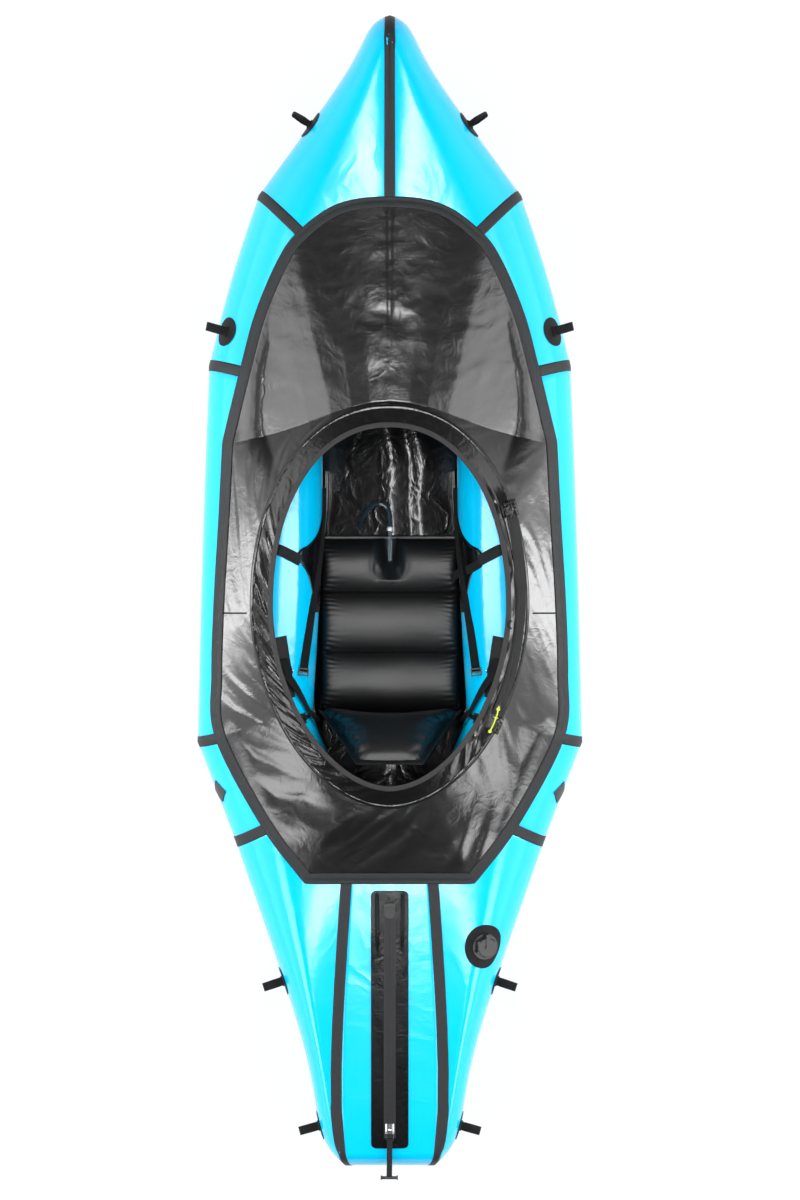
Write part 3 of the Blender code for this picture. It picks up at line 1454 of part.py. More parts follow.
def build_plunger(frame, bottom, spider_top):
    button_low = spider_top + VALVE_BUTTON_RISE - VALVE_BUTTON_HEIGHT
    button_top = button_low + VALVE_BUTTON_HEIGHT
    disc_radius = (VALVE_BARREL_RADIUS + VALVE_BORE_RADIUS) / 2
    disc_top = bottom - CLEARANCE
    profile = [
        (0.0, button_top),
        (VALVE_BUTTON_RADIUS, button_top),
        (VALVE_BUTTON_RADIUS, button_low),
        (VALVE_STEM_RADIUS, button_low),
        (VALVE_STEM_RADIUS, disc_top),
        (disc_radius, disc_top),
        (disc_radius, disc_top - VALVE_DISC_THICKNESS),
        (0.0, disc_top - VALVE_DISC_THICKNESS),
    ]
    add_turned("valve_plunger", profile, 16, "plastic", frame)
    low = spider_top + CLEARANCE + SPRING_WIRE / 2
    high = button_low - CLEARANCE - SPRING_WIRE / 2
    turns = 4
    steps = turns * 9
    radius = (VALVE_STEM_RADIUS + SPRING_RADIUS) / 2 + SPRING_WIRE / 2
    points = []
    for i in range(steps + 1):
        angle = 2 * math.pi * turns * i / steps
        points.append(
            (radius * math.cos(angle), radius * math.sin(angle), low + (high - low) * i / steps)
        )
    add_tube("valve_spring", points, SPRING_WIRE, "metal", False, frame, 1)
    coil_gap = (high - low) / turns - SPRING_WIRE
    print(f"valve spring: least gap between turns {coil_gap * 1000:.2f} mm")


def build_cap(frame, flange, collar):
    inner = VALVE_COLLAR_RADIUS + CLEARANCE
    low = flange + LEASH_THICKNESS + CLEARANCE * 2
    roof = collar + CLEARANCE
    top = roof + CAP_WALL
    profile = [
        (0.0, top),
        (CAP_RADIUS - CAP_WALL / 2, top),
        (CAP_RADIUS, top - CAP_WALL / 2),
        (CAP_RADIUS, low),
        (inner, low),
        (inner, roof),
        (0.0, roof),
    ]
    cap = add_turned("valve_cap", profile, 24, "plastic", frame)
    for i in range(6):
        angle = math.radians(60 * i)
        bm = bmesh.new()
        bmesh.ops.create_cone(
            bm,
            cap_ends=True,
            segments=8,
            radius1=CAP_LUG_RADIUS,
            radius2=CAP_LUG_RADIUS,
            depth=(top - low) * 3 / 4,
        )
        shift = (
            CAP_RADIUS * math.cos(angle),
            CAP_RADIUS * math.sin(angle),
            low + (top - low) / 2,
        )
        bmesh.ops.translate(bm, verts=bm.verts, vec=shift)
        lug = place(f"cap_lug_{i}", mesh_from(bm, "cap_lug", False), None, frame)
        add_boolean(cap, lug, "UNION")
    build_leash(frame, flange, top)


def build_leash(frame, flange, cap_top):
    """The leash: a loose ring on the collar, a strap up past the cap and a hub on its roof."""
    ring_in = VALVE_COLLAR_RADIUS + CLEARANCE * 2
    ring_out = CAP_RADIUS + CAP_LUG_RADIUS * 2
    low = flange + CLEARANCE
    high = low + LEASH_THICKNESS
    leash = add_turned(
        "valve_leash",
        [(ring_in, high), (ring_out, high), (ring_out, low), (ring_in, low)],
        20,
        "plastic",
        frame,
    )
    clear = CAP_RADIUS + CAP_LUG_RADIUS * 3 / 2
    hub_low = cap_top + CLEARANCE
    top = hub_low + LEASH_THICKNESS
    outline = [
        (ring_in + LEASH_THICKNESS, low),
        (clear + LEASH_THICKNESS, low),
        (clear + LEASH_THICKNESS, top),
        (0.0, top),
        (0.0, hub_low),
        (clear, hub_low),
        (clear, high),
        (ring_in + LEASH_THICKNESS, high),
    ]
    strap = add_prism("leash_strap", outline, -LEASH_WIDTH / 2, LEASH_WIDTH / 2, None, frame)
    add_boolean(leash, strap, "UNION")
    hub = add_turned(
        "leash_hub",
        [
            (0.0, hub_low + LEASH_HUB_HEIGHT),
            (LEASH_HUB_RADIUS, hub_low + LEASH_HUB_HEIGHT),
            (LEASH_HUB_RADIUS, hub_low),
            (0.0, hub_low),
        ],
        12,
        None,
        frame,
    )
    add_boolean(leash, hub, "UNION")


# Inflated seat pieces are pillows with a welded margin all round
def pillow(name, point, columns, rows, colour):
    """A closed pillow whose upper and lower skins are given by point(u, v, face)."""
    bm = bmesh.new()
    grids = [[[bm.verts.new(point(u, v, face)) for u in columns] for v in rows] for face in (1, -1)]
    last, end = len(columns) - 1, len(rows) - 1
    for grid in grids:
        for r in range(end):
            for c in range(last):
                bm.faces.new((grid[r][c], grid[r][c + 1], grid[r + 1][c + 1], grid[r + 1][c]))
    rim = [(r, 0) for r in range(end)] + [(end, c) for c in range(last)]
    rim += [(r, last) for r in range(end, 0, -1)] + [(0, c) for c in range(last, 0, -1)]
    top, low = grids
    for (r1, c1), (r2, c2) in zip(rim, rim[1:] + rim[:1]):
        bm.faces.new((top[r1][c1], top[r2][c2], low[r2][c2], low[r1][c1]))
    return place(name, mesh_from(bm, name), colour)


def margin_steps(low, high, steps):
    """Places from 0 to 1 with a margin at each end and even angles between."""
    inner = [(1 - math.cos(math.pi * i / steps)) / 2 for i in range(steps + 1)]
    return [0.0] + [low + (1 - low - high) * share for share in inner] + [1.0]


def across_steps(margin, steps):
    return [2 * share - 1 for share in margin_steps(margin / 2, margin / 2, steps)]


def bulged(share, margin, power):
    """Height share over a welded margin: 0 on the margin and 1 in the middle."""
    local = min(abs(share) / (1 - margin), 1.0)
    return math.sqrt(max(1 - local**power, 0.0))


def channel_swell(v):
    """Height share over the seat's welded channels, 0 at each weld and 1 on each crown."""
    for a, b in zip(SEAT_CHANNEL_SHARES, SEAT_CHANNEL_SHARES[1:]):
        if v <= b:
            local = abs((v - a) / (b - a) * 2 - 1)
            depth = SEAT_WELD_DEPTH_SHARE
            low_a = 0.0 if a == 0 and v < (a + b) / 2 else depth
            low = 0.0 if b == 1 and v > (a + b) / 2 else low_a
            return low + (1 - low) * math.sqrt(max(1 - local**2, 0.0))
    return 0.0


def seat_point(u, v, face):
    margin = SEAT_FLANGE / (SEAT_WIDTH / 2)
    end_margin = SEAT_FLANGE / SEAT_LENGTH
    along = min(max((v - end_margin) / (1 - 2 * end_margin), 0.0), 1.0)
    swell = channel_swell(along)
    edge = bulged(u, margin, 4)
    y = SEAT_FRONT_Y - v * SEAT_LENGTH
    x = u * (SEAT_WIDTH / 2 - SEAT_DRAW_IN * swell)
    middle = HULL_BASE + SEAT_HEIGHT * 2 / 5
    half = SEAM_THICKNESS / 2
    if face > 0:
        notch = math.exp(-((x / NOTCH_RADIUS) ** 2)) * max(1 - 2 * along, 0.0)
        rise = (SEAT_HEIGHT * 3 / 5 - half) * swell * edge * (1 - notch)
        return Vector((x, y, middle + half + rise))
    return Vector((x, y, max(middle - half - SEAT_HEIGHT * 3 / 5 * swell * edge, HULL_BASE)))


def build_seat():
    columns = across_steps(SEAT_FLANGE / (SEAT_WIDTH / 2), 9)
    end_margin = SEAT_FLANGE / SEAT_LENGTH
    rows = [0.0]
    for a, b in zip(SEAT_CHANNEL_SHARES, SEAT_CHANNEL_SHARES[1:]):
        for i in range(6):
            share = a + (b - a) * (1 - math.cos(math.pi * i / 6)) / 2
            rows.append(end_margin + (1 - 2 * end_margin) * share)
    rows += [1 - end_margin, 1.0]
    return pillow("seat_cushion", seat_point, columns, rows, "deck")


def back_point(u, v, face):
    shoulder = BACK_SHOULDER_SHARE
    top = max(v - shoulder, 0.0) / (1 - shoulder)
    half_width = (BACK_WIDTH + (BACK_TOP_WIDTH - BACK_WIDTH) * top) / 2
    margin = BACK_FLANGE / half_width
    strip = BACK_HINGE_STRIP / BACK_HEIGHT
    end_margin = BACK_FLANGE / BACK_HEIGHT
    filled = min(max((v - strip) / (1 - strip - end_margin), 0.0), 1.0)
    wrap = math.sin(min(v / shoulder, 1.0) * math.pi / 2) ** 6 * (1 - top)
    lean = -BACK_LEAN * v**1.5 + BACK_WRAP * u * u * wrap
    forward = Vector((0.0, BACK_HEIGHT, BACK_LEAN * 1.5 * v**0.5)).normalized()
    swell = bulged(u, margin, 4) * bulged(2 * filled - 1, 0.0, 3)
    depth = SEAM_THICKNESS / 2 + (BACK_THICKNESS - SEAM_THICKNESS) / 2 * swell
    hinge_y = SEAT_FRONT_Y - SEAT_LENGTH - BACK_GAP - SEAM_THICKNESS / 2
    low = HULL_BASE + SEAT_HEIGHT * 2 / 5 - HINGE_DROP
    base = Vector((u * half_width, hinge_y + lean, low + v * BACK_HEIGHT))
    return base + forward * (depth * face)


def build_backrest():
    columns = across_steps(BACK_FLANGE / (BACK_WIDTH / 2), 8)
    rows = margin_steps(BACK_HINGE_STRIP / BACK_HEIGHT, BACK_FLANGE / BACK_HEIGHT, 8)
    return pillow("backrest", back_point, columns, rows, "deck")


def build_seat_valve(skin):
    """The twist valve: clear stem in the seat's notch, union nut and hose."""
    radius = STEM_DIAMETER / 2
    rear = SEAT_FRONT_Y - STEM_LENGTH * 7 / 8
    spots = [rear + radius / 2 + STEM_LENGTH * i / 16 for i in range(16)]
    z = max(top_height(skin, 0.0, y) for y in spots) + CLEARANCE + radius
    line = Matrix.Translation((0.0, rear, z)) @ Matrix.Rotation(math.radians(-90), 4, "X")
    axis = new_frame("seat_valve_axis", line)
    stem = [
        (0.0, STEM_LENGTH),
        (radius * 3 / 4, STEM_LENGTH),
        (radius * 3 / 4, STEM_LENGTH * 4 / 5),
        (radius, STEM_LENGTH * 4 / 5),
        (radius, radius / 2),
        (radius / 2, 0.0),
        (0.0, 0.0),
    ]
    add_turned("seat_valve_stem", stem, 12, "clear", axis)
    start = STEM_LENGTH + CLEARANCE
    nut_radius = NUT_DIAMETER / 2
    nut = [
        (0.0, start + NUT_LENGTH),
        (nut_radius * 3 / 4, start + NUT_LENGTH),
        (nut_radius, start + NUT_LENGTH * 3 / 4),
        (nut_radius, start),
        (0.0, start),
    ]
    add_turned("seat_valve_nut", nut, 6, "metal", axis)
    return Vector((0.0, rear + start + NUT_LENGTH + CLEARANCE, z))


def build_hose(start):
    """The clear hose rises from the nut and loops down to the floor on the left."""
    knots = [start + Vector(p) * HOSE_REACH for p in HOSE_ROUTE_SHARES]
    points = smooth_points(knots, [1, 1] + [2] * (len(knots) - 3))
    add_tube("inflation_hose", [tuple(p) for p in points], HOSE_DIAMETER, "clear", roundness=2)


# Straps and patches on the cockpit walls
def wall_ray(side, tilt):
    angle = math.radians(tilt)
    return Vector((side * math.sin(angle), 0.0, -math.cos(angle)))


def wall_strip(name, skin, side, knots, width, thickness):
    """A strip laid on the cockpit wall: each knot is a place and the tilt of its ray."""
    rows, directions = [], []
    points = [Vector((side * x, y, z)) for x, y, z, tilt in knots]
    for i, point in enumerate(points):
        run = points[min(i + 1, len(points) - 1)] - points[max(i - 1, 0)]
        direction = wall_ray(side, knots[i][3])
        across = run.cross(direction).normalized()
        shares = (-1 / 2, 0.0, 1 / 2)
        rows.append([lay(skin, point + across * (width * s), direction, LAY_LIFT) for s in shares])
        directions.append(direction)
    rows = settle(skin, rows, directions, LAY_LIFT)
    inward = Vector((-side, 0.0, 1.0))
    return add_sheet(name, rows, thickness, "webbing", up=lambda p: inward)


def build_wall_fittings(panels):
    skin = skin_of(panels)
    axis = HULL_WIDTH / 2 - TUBE_RADIUS
    top = TUBE_DIAMETER
    for side, word in ((LEFT, "left"), (RIGHT, "right")):
        knots = [
            (axis - TUBE_RADIUS * share, BUCKLE_Y + BUCKLE_PATCH_LENGTH * along, top, 40)
            for share, along in BUCKLE_PATCH_SHARES
        ]
        name = f"buckle_patch_{word}"
        patch = wall_strip(name, skin, side, knots, BUCKLE_PATCH_WIDTH, TAPE_THICKNESS)
        knots = [
            (axis - TUBE_RADIUS * share, FRONT_STRAP_Y - FRONT_STRAP_LENGTH * along, top, 40)
            for share, along in FRONT_STRAP_SHARES
        ]
        wall_strip(f"front_strap_{word}", skin, side, knots, TIE_WIDTH, WEBBING_THICKNESS)
        buckle = build_buckle(skin_of(panels + [patch]), side, word, axis)
        over = skin_of(panels + [patch, buckle])
        build_back_strap(over, side, word, axis)


def build_buckle(skin, side, word, axis):
    """A ladder lock: a flat frame with two slots, lying on its patch."""
    direction = wall_ray(side, 42)
    point = Vector((side * (axis - TUBE_RADIUS * BUCKLE_SHARE), BUCKLE_Y, TUBE_DIAMETER))
    centre = lay(skin, point, direction, LAY_LIFT)
    along = Vector((-side * math.sin(math.radians(24)), -math.cos(math.radians(24)), 0.0))
    matrix = frame_matrix(centre, along, -direction)
    across = matrix.to_3x3() @ Vector((0.0, 1.0, 0.0))
    along = matrix.to_3x3() @ Vector((1.0, 0.0, 0.0))
    need = 0.0
    for i in range(5):
        for j in range(5):
            shift = along * (BUCKLE_LENGTH * (i / 4 - 1 / 2))
            shift += across * (BUCKLE_WIDTH * (j / 4 - 1 / 2))
            way = reach_skin(skin, centre + shift - direction * RAY_REACH, direction)
            need = max(need, RAY_REACH - way + LAY_LIFT)
    frame = new_frame(f"buckle_frame_{word}", Matrix.Translation(-direction * need) @ matrix)
    outline = rounded_rectangle(BUCKLE_LENGTH, BUCKLE_WIDTH, BUCKLE_CORNER)
    slot = (BUCKLE_LENGTH - 3 * BUCKLE_BAR) / 2
    half = (BUCKLE_WIDTH - 2 * BUCKLE_BAR) / 2
    slots = [
        [
            (centre_x - slot / 2, -half),
            (centre_x + slot / 2, -half),
            (centre_x + slot / 2, half),
            (centre_x - slot / 2, half),
        ]
        for centre_x in (-(slot + BUCKLE_BAR) / 2, (slot + BUCKLE_BAR) / 2)
    ]
    buckle = add_plate(
        f"strap_buckle_{word}", [outline] + slots, BUCKLE_THICKNESS, "plastic", frame
    )
    buckle.location.z = BUCKLE_THICKNESS / 2
    return buckle


def build_back_strap(skin, side, word, axis):
    """Webbing from the buckle along the wall to the backrest's shoulder."""
    shoulder = back_point(side, BACK_SHOULDER_SHARE, 1)
    end = Vector((abs(shoulder.x), shoulder.y + STRAP_END_GAP, shoulder.z + STRAP_WIDTH / 2))
    start = Vector((axis - TUBE_RADIUS * BUCKLE_SHARE, BUCKLE_Y - BUCKLE_LENGTH / 4, TUBE_DIAMETER))
    knots = []
    for share, tilt in ((0.0, 42), (0.2, 46), (0.45, 55), (0.72, 70), (1.0, 84)):
        point = start.lerp(end, share)
        knots.append((point.x, point.y, point.z, tilt))
    wall_strip(f"back_strap_{word}", skin, side, knots, STRAP_WIDTH, WEBBING_THICKNESS)


def build():
    clear_scene()
    global PARTS, CUTTERS
    PARTS = new_collection("packraft")
    CUTTERS = new_collection("cutters")
    sections, panels = build_hull()
    hull_skin = skin_of(panels)
    build_floor(sections)
    coaming = build_coaming()
    deck, edge_loop = build_deck(coaming, hull_skin)
    deck_skin = skin_of(panels + deck)
    build_deck_tape(edge_loop, hull_skin, deck_skin)
    ys = [p.y for p in edge_loop]
    build_seam_tapes(sections, hull_skin, max(ys), min(ys))
    build_tie_downs(hull_skin)
    cargo = build_cargo(sections)
    build_cargo_zip(cargo, panels[-1])
    valve = build_valve(hull_skin)
    build_valve_parts(valve, hull_skin, panels[-2])
    seat = build_seat()
    build_backrest()
    hose_start = build_seat_valve(skin_of([seat]))
    build_hose(hose_start)
    build_wall_fittings(panels)


build()
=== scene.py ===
import math

import bmesh
import bpy
from mathutils import Matrix, Vector, noise
from mathutils.bvhtree import BVHTree


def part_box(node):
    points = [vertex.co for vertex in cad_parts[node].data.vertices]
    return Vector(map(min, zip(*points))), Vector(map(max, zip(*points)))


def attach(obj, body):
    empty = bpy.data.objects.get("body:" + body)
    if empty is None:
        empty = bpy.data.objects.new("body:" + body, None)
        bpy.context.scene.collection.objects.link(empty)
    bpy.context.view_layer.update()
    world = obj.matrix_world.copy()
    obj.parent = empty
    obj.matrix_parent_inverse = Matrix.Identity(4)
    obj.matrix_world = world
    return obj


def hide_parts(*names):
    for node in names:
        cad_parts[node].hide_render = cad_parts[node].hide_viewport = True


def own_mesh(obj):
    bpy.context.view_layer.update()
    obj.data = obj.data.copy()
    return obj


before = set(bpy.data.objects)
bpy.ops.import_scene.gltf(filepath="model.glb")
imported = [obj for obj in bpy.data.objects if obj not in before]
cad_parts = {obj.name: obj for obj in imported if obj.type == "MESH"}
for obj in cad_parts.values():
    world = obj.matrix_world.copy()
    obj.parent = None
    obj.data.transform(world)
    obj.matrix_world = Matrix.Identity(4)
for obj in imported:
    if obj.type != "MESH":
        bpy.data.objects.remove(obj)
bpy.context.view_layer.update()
scene = bpy.context.scene
abeam = Vector((1.0, 0.0, 0.0))
ahead = Vector((0.0, 1.0, 0.0))
up = Vector((0.0, 0.0, 1.0))
sides = ((-1, "left"), (1, "right"))

# The camera looks straight down, with the bow at the top of the picture
view = {"x": 0.025, "y": -0.021, "height": 7.6425, "lens": 90.9, "sensor": 36.0, "picture": (800, 1200)}
cameraData = bpy.data.cameras.new("camera")
cameraData.lens = view["lens"]
camera = bpy.data.objects.new("camera", cameraData)
scene.collection.objects.link(camera)
camera.location = (view["x"], view["y"], view["height"])
scene.camera = camera
scene.view_settings.view_transform = "Standard"


# Node groups that the materials share
def addNode(tree, kind, **values):
    node = tree.nodes.new(kind)
    for key, value in values.items():
        setattr(node, key, value)
    return node


def feed(tree, socket, source):
    if isinstance(source, bpy.types.NodeSocket):
        tree.links.new(source, socket)
    else:
        socket.default_value = source


def newGroup(name, values, outputs):
    group = bpy.data.node_groups.new(name, "ShaderNodeTree")
    group.interface.new_socket("Vector", in_out="INPUT", socket_type="NodeSocketVector")
    for label, value in values.items():
        kind = "NodeSocketFloat" if isinstance(value, float) else "NodeSocketColor"
        group.interface.new_socket(label, in_out="INPUT", socket_type=kind).default_value = value
    for label in outputs:
        kind = "NodeSocketColor" if label == "Color" else "NodeSocketFloat"
        group.interface.new_socket(label, in_out="OUTPUT", socket_type=kind)
    start, end = group.nodes.new("NodeGroupInput"), group.nodes.new("NodeGroupOutput")
    return group, start.outputs, end.inputs


def mathNode(tree, operation, *values, clamp=False):
    node = addNode(tree, "ShaderNodeMath", operation=operation, use_clamp=clamp)
    for socket, value in zip(node.inputs, values):
        feed(tree, socket, value)
    return node.outputs[0]


def waveNode(tree, along, pitch, shift=0.0):
    turns = mathNode(tree, "MULTIPLY", along, mathNode(tree, "DIVIDE", 2 * math.pi, pitch))
    return mathNode(tree, "SINE", mathNode(tree, "ADD", turns, shift))


def noiseNode(tree, vector, scale, detail, distortion=0.0):
    node = addNode(tree, "ShaderNodeTexNoise")
    values = {"Vector": vector, "Scale": scale, "Detail": detail, "Distortion": distortion}
    for label, value in values.items():
        feed(tree, node.inputs[label], value)
    return node.outputs["Fac"]


def clothGroup(name, pitches):
    group, start, end = newGroup(name, pitches, ("Height",))
    split = addNode(group, "ShaderNodeSeparateXYZ")
    feed(group, split.inputs[0], start["Vector"])
    if name == "plainWeave":
        waves = [waveNode(group, split.outputs[axis], start["Pitch"]) for axis in ("X", "Y")]
        height = mathNode(group, "MULTIPLY_ADD", mathNode(group, "MULTIPLY", *waves), 0.5, 0.5)
    else:
        shift = waveNode(group, split.outputs["X"], start["Across"])
        height = waveNode(group, split.outputs["Y"], start["Pitch"], shift)
    feed(group, end["Height"], height)
    return group


def creaseGroup():
    group, start, end = newGroup("softCreases", {"Scale": 10.0, "Sharpness": 2.0}, ("Height",))
    field = noiseNode(group, start["Vector"], start["Scale"], 4.0, 0.6)
    ridges = mathNode(group, "ABSOLUTE", mathNode(group, "MULTIPLY_ADD", field, 2.0, -1.0))
    ridges = mathNode(group, "SUBTRACT", 1.0, ridges, clamp=True)
    feed(group, end["Height"], mathNode(group, "POWER", ridges, start["Sharpness"]))
    return group


def toneGroup():
    values = {"Scale": 6.0, "Dark": (0.0, 0.0, 0.0, 1.0), "Light": (1.0, 1.0, 1.0, 1.0)}
    group, start, end = newGroup("clothTone", values, ("Color", "Mask"))
    broad = noiseNode(group, start["Vector"], start["Scale"], 2.0)
    fine = noiseNode(group, start["Vector"], mathNode(group, "MULTIPLY", start["Scale"], 14.0), 4.0)
    mixed = mathNode(group, "MULTIPLY_ADD", fine, 0.35, mathNode(group, "MULTIPLY", broad, 0.65))
    ramp = addNode(group, "ShaderNodeMapRange", clamp=True)
    for socket, value in zip(ramp.inputs, (mixed, 0.3, 0.7)):
        feed(group, socket, value)
    blend = addNode(group, "ShaderNodeMix", data_type="RGBA")
    feed(group, blend.inputs["Factor"], ramp.outputs[0])
    feed(group, blend.inputs[6], start["Dark"])
    feed(group, blend.inputs[7], start["Light"])
    feed(group, end["Color"], blend.outputs[2])
    feed(group, end["Mask"], ramp.outputs[0])
    return group


groups = {
    "weave": clothGroup("plainWeave", {"Pitch": 0.001}),
    "creases": creaseGroup(),
    "tone": toneGroup(),
    "ribs": clothGroup("crossRibs", {"Pitch": 0.002, "Across": 0.004}),
}


def useGroup(tree, key, vector, *values):
    node = addNode(tree, "ShaderNodeGroup", node_tree=groups[key])
    for socket, value in zip(node.inputs, (vector, *values)):
        feed(tree, socket, value)
    return node


# A look has two colours and two roughnesses that a soft noise blends, and a list of bumps:
# each names a group, its depth in metres and the group's own values in their order
def newMaterial(name, look):
    material = bpy.data.materials.new(name)
    material.use_nodes = True
    tree = material.node_tree
    shader = tree.nodes["Principled BSDF"]
    shader.inputs["Specular IOR Level"].default_value = look.get("shine", 0.5)
    for label, value in look.get("shader", {}).items():
        shader.inputs[label].default_value = value
    place = addNode(tree, "ShaderNodeTexCoord").outputs["UV" if look.get("uv") else "Object"]
    dark, light = look["colours"]
    tone = useGroup(tree, "tone", place, look.get("tone", 6.0), (*dark, 1.0), (*light, 1.0))
    feed(tree, shader.inputs["Base Color"], tone.outputs["Color"])
    rough = addNode(tree, "ShaderNodeMapRange")
    feed(tree, rough.inputs[0], tone.outputs["Mask"])
    rough.inputs[3].default_value, rough.inputs[4].default_value = look["rough"]
    feed(tree, shader.inputs["Roughness"], rough.outputs[0])
    for key, depth, *values in look.get("bumps", ()):
        bump = addNode(tree, "ShaderNodeBump")
        bump.inputs["Strength"].default_value = 1.0
        bump.inputs["Distance"].default_value = depth
        feed(tree, bump.inputs["Height"], useGroup(tree, key, place, *values).outputs["Height"])
        if shader.inputs["Normal"].links:
            feed(tree, bump.inputs["Normal"], shader.inputs["Normal"].links[0].from_socket)
        feed(tree, shader.inputs["Normal"], bump.outputs["Normal"])
    return material


looks = {
    "hullCloth": {
        "colours": ((0.0, 0.49, 0.83), (0.0, 0.53, 0.87)), "tone": 3.0, "rough": (0.13, 0.17),
        "bumps": (("creases", 0.0003, 9.0, 3.0),),
    },
    "seamTape": {
        "colours": ((0.011, 0.013, 0.015), (0.016, 0.018, 0.02)), "rough": (0.5, 0.62), "shine": 0.35,
        "bumps": (("weave", 0.0001, 0.0012),),
    },
    "deckCloth": {
        "colours": ((0.003, 0.003, 0.0035), (0.006, 0.006, 0.0065)), "tone": 4.0, "rough": (0.2, 0.24),
        "shine": 0.9, "bumps": (("creases", 0.0003, 22.0, 2.5), ("creases", 0.00005, 90.0, 2.0)),
    },
    "sleeveCloth": {
        "colours": ((0.003, 0.003, 0.003), (0.005, 0.005, 0.0055)), "rough": (0.16, 0.22),
        "bumps": (("creases", 0.0004, 30.0, 2.0),),
    },
    "floorCloth": {
        "colours": ((0.002, 0.002, 0.0025), (0.004, 0.004, 0.0045)), "rough": (0.14, 0.2),
        "bumps": (("creases", 0.0008, 16.0, 2.0),),
    },
    "seatCloth": {
        "colours": ((0.004, 0.004, 0.0042), (0.007, 0.007, 0.0072)), "rough": (0.38, 0.43), "shine": 0.65,
        "bumps": (("creases", 0.0002, 40.0, 2.0),),
    },
    "webbing": {
        "colours": ((0.004, 0.004, 0.004), (0.009, 0.009, 0.01)), "tone": 60.0, "rough": (0.6, 0.75),
        "shine": 0.3, "uv": True, "bumps": (("ribs", 0.0006, 0.0022, 0.004),),
    },
    "webbingPale": {
        "colours": ((0.014, 0.014, 0.016), (0.026, 0.026, 0.028)), "tone": 60.0, "rough": (0.7, 0.85),
        "shine": 0.3, "uv": True, "bumps": (("ribs", 0.0006, 0.0022, 0.004),),
    },
    "bindingCloth": {
        "colours": ((0.012, 0.011, 0.011), (0.02, 0.018, 0.018)), "tone": 40.0, "rough": (0.6, 0.7),
        "bumps": (("weave", 0.00015, 0.0014),),
    },
    "cargoCloth": {
        "colours": ((0.003, 0.0035, 0.004), (0.005, 0.006, 0.0065)), "rough": (0.16, 0.22), "shine": 0.16,
        "bumps": (("creases", 0.0002, 40.0, 2.0),),
    },
    "patchCloth": {
        "colours": ((0.005, 0.005, 0.0055), (0.009, 0.009, 0.01)), "rough": (0.5, 0.62), "shine": 0.2,
        "bumps": (("weave", 0.00015, 0.0016),),
    },
    "zipTape": {
        "colours": ((0.014, 0.0145, 0.015), (0.022, 0.0225, 0.024)), "tone": 30.0, "rough": (0.6, 0.75),
        "uv": True, "bumps": (("ribs", 0.0003, 0.0016, 0.003),),
    },
    "badgeRubber": {"colours": ((0.008, 0.008, 0.008), (0.013, 0.013, 0.012)), "rough": (0.35, 0.45)},
    "teethPlastic": {
        "colours": ((0.004, 0.004, 0.005), (0.007, 0.007, 0.008)), "rough": (0.4, 0.5), "shine": 0.12,
    },
    "railPlastic": {
        "colours": ((0.018, 0.018, 0.02), (0.026, 0.026, 0.028)), "rough": (0.3, 0.4), "shine": 0.2,
    },
    "blackPlastic": {
        "colours": ((0.01, 0.01, 0.011), (0.016, 0.016, 0.017)), "tone": 20.0, "rough": (0.3, 0.42),
    },
    "whitePlastic": {"colours": ((0.62, 0.66, 0.7), (0.75, 0.78, 0.82)), "rough": (0.2, 0.3)},
    "rodPlastic": {"colours": ((0.5, 0.5, 0.45), (0.56, 0.56, 0.5)), "rough": (0.4, 0.5)},
    "neonCord": {"colours": ((0.5, 0.62, 0.02), (0.72, 0.82, 0.06)), "tone": 300.0, "rough": (0.6, 0.7)},
    "chrome": {
        "colours": ((0.7, 0.71, 0.73), (0.82, 0.83, 0.85)), "rough": (0.12, 0.2),
        "shader": {"Metallic": 1.0},
    },
    "clearTube": {
        "colours": ((0.5, 0.6, 0.68), (0.6, 0.7, 0.78)), "rough": (0.08, 0.12),
        "shader": {"Transmission Weight": 0.85, "IOR": 1.45},
    },
    "hoseTube": {
        "colours": ((0.02, 0.035, 0.05), (0.035, 0.06, 0.08)), "rough": (0.06, 0.1),
        "shader": {"Transmission Weight": 0.25, "IOR": 1.45},
    },
}
materials = {name: newMaterial(name, look) for name, look in looks.items()}
print("materials built")


# Curves that the shapes share
def span(value, low=0.0, high=1.0):
    return min(max(value, low), high)


def eased(share):
    return share * share * (3 - 2 * share)


def bell(distance, width, power=2):
    return math.exp(-((distance / width) ** power))


def roundOff(share, power=2):
    return max(1 - abs(share) ** power, 0.0) ** 0.5


def ridge(x, y, z=0.0):
    return 1.0 - abs(noise.noise(Vector((x, y, z)))) * 2.0


def upward(point):
    return up


def awayFrom(centre):
    return lambda point: point - centre


def lengthOf(points):
    return sum((b - a).length for a, b in zip(points, points[1:]))


def smoothPoints(points, counts):
    ends = [points[0] * 2 - points[1]] + list(points) + [points[-1] * 2 - points[-2]]
    out = []
    for i, count in enumerate(counts):
        a, b, c, d = ends[i : i + 4]
        for step in range(count):
            t = step / count
            square = (a * 2 - b * 5 + c * 4 - d) * (t * t / 2)
            cube = (b * 3 - a - c * 3 + d) * (t * t * t / 2)
            out.append(b + (c - a) * (t / 2) + square + cube)
    out.append(points[-1].copy())
    return out


def lineAt(points, share):
    place = share * (len(points) - 1)
    index = min(int(place), len(points) - 2)
    return points[index].lerp(points[index + 1], place - index)


def evenly(points, count):
    lengths = [0.0]
    for a, b in zip(points, points[1:]):
        lengths.append(lengths[-1] + (b - a).length)
    out, index = [], 0
    for i in range(count + 1):
        target = lengths[-1] * i / count
        while index < len(points) - 2 and lengths[index + 1] < target:
            index += 1
        run = lengths[index + 1] - lengths[index]
        out.append(points[index].lerp(points[index + 1], (target - lengths[index]) / max(run, 1e-9)))
    return out


def axesMatrix(origin, along, normal):
    z = normal.normalized()
    x = (along - z * along.dot(z)).normalized()
    turn = Matrix((x, z.cross(x), z)).transposed().to_4x4()
    return Matrix.Translation(origin) @ turn


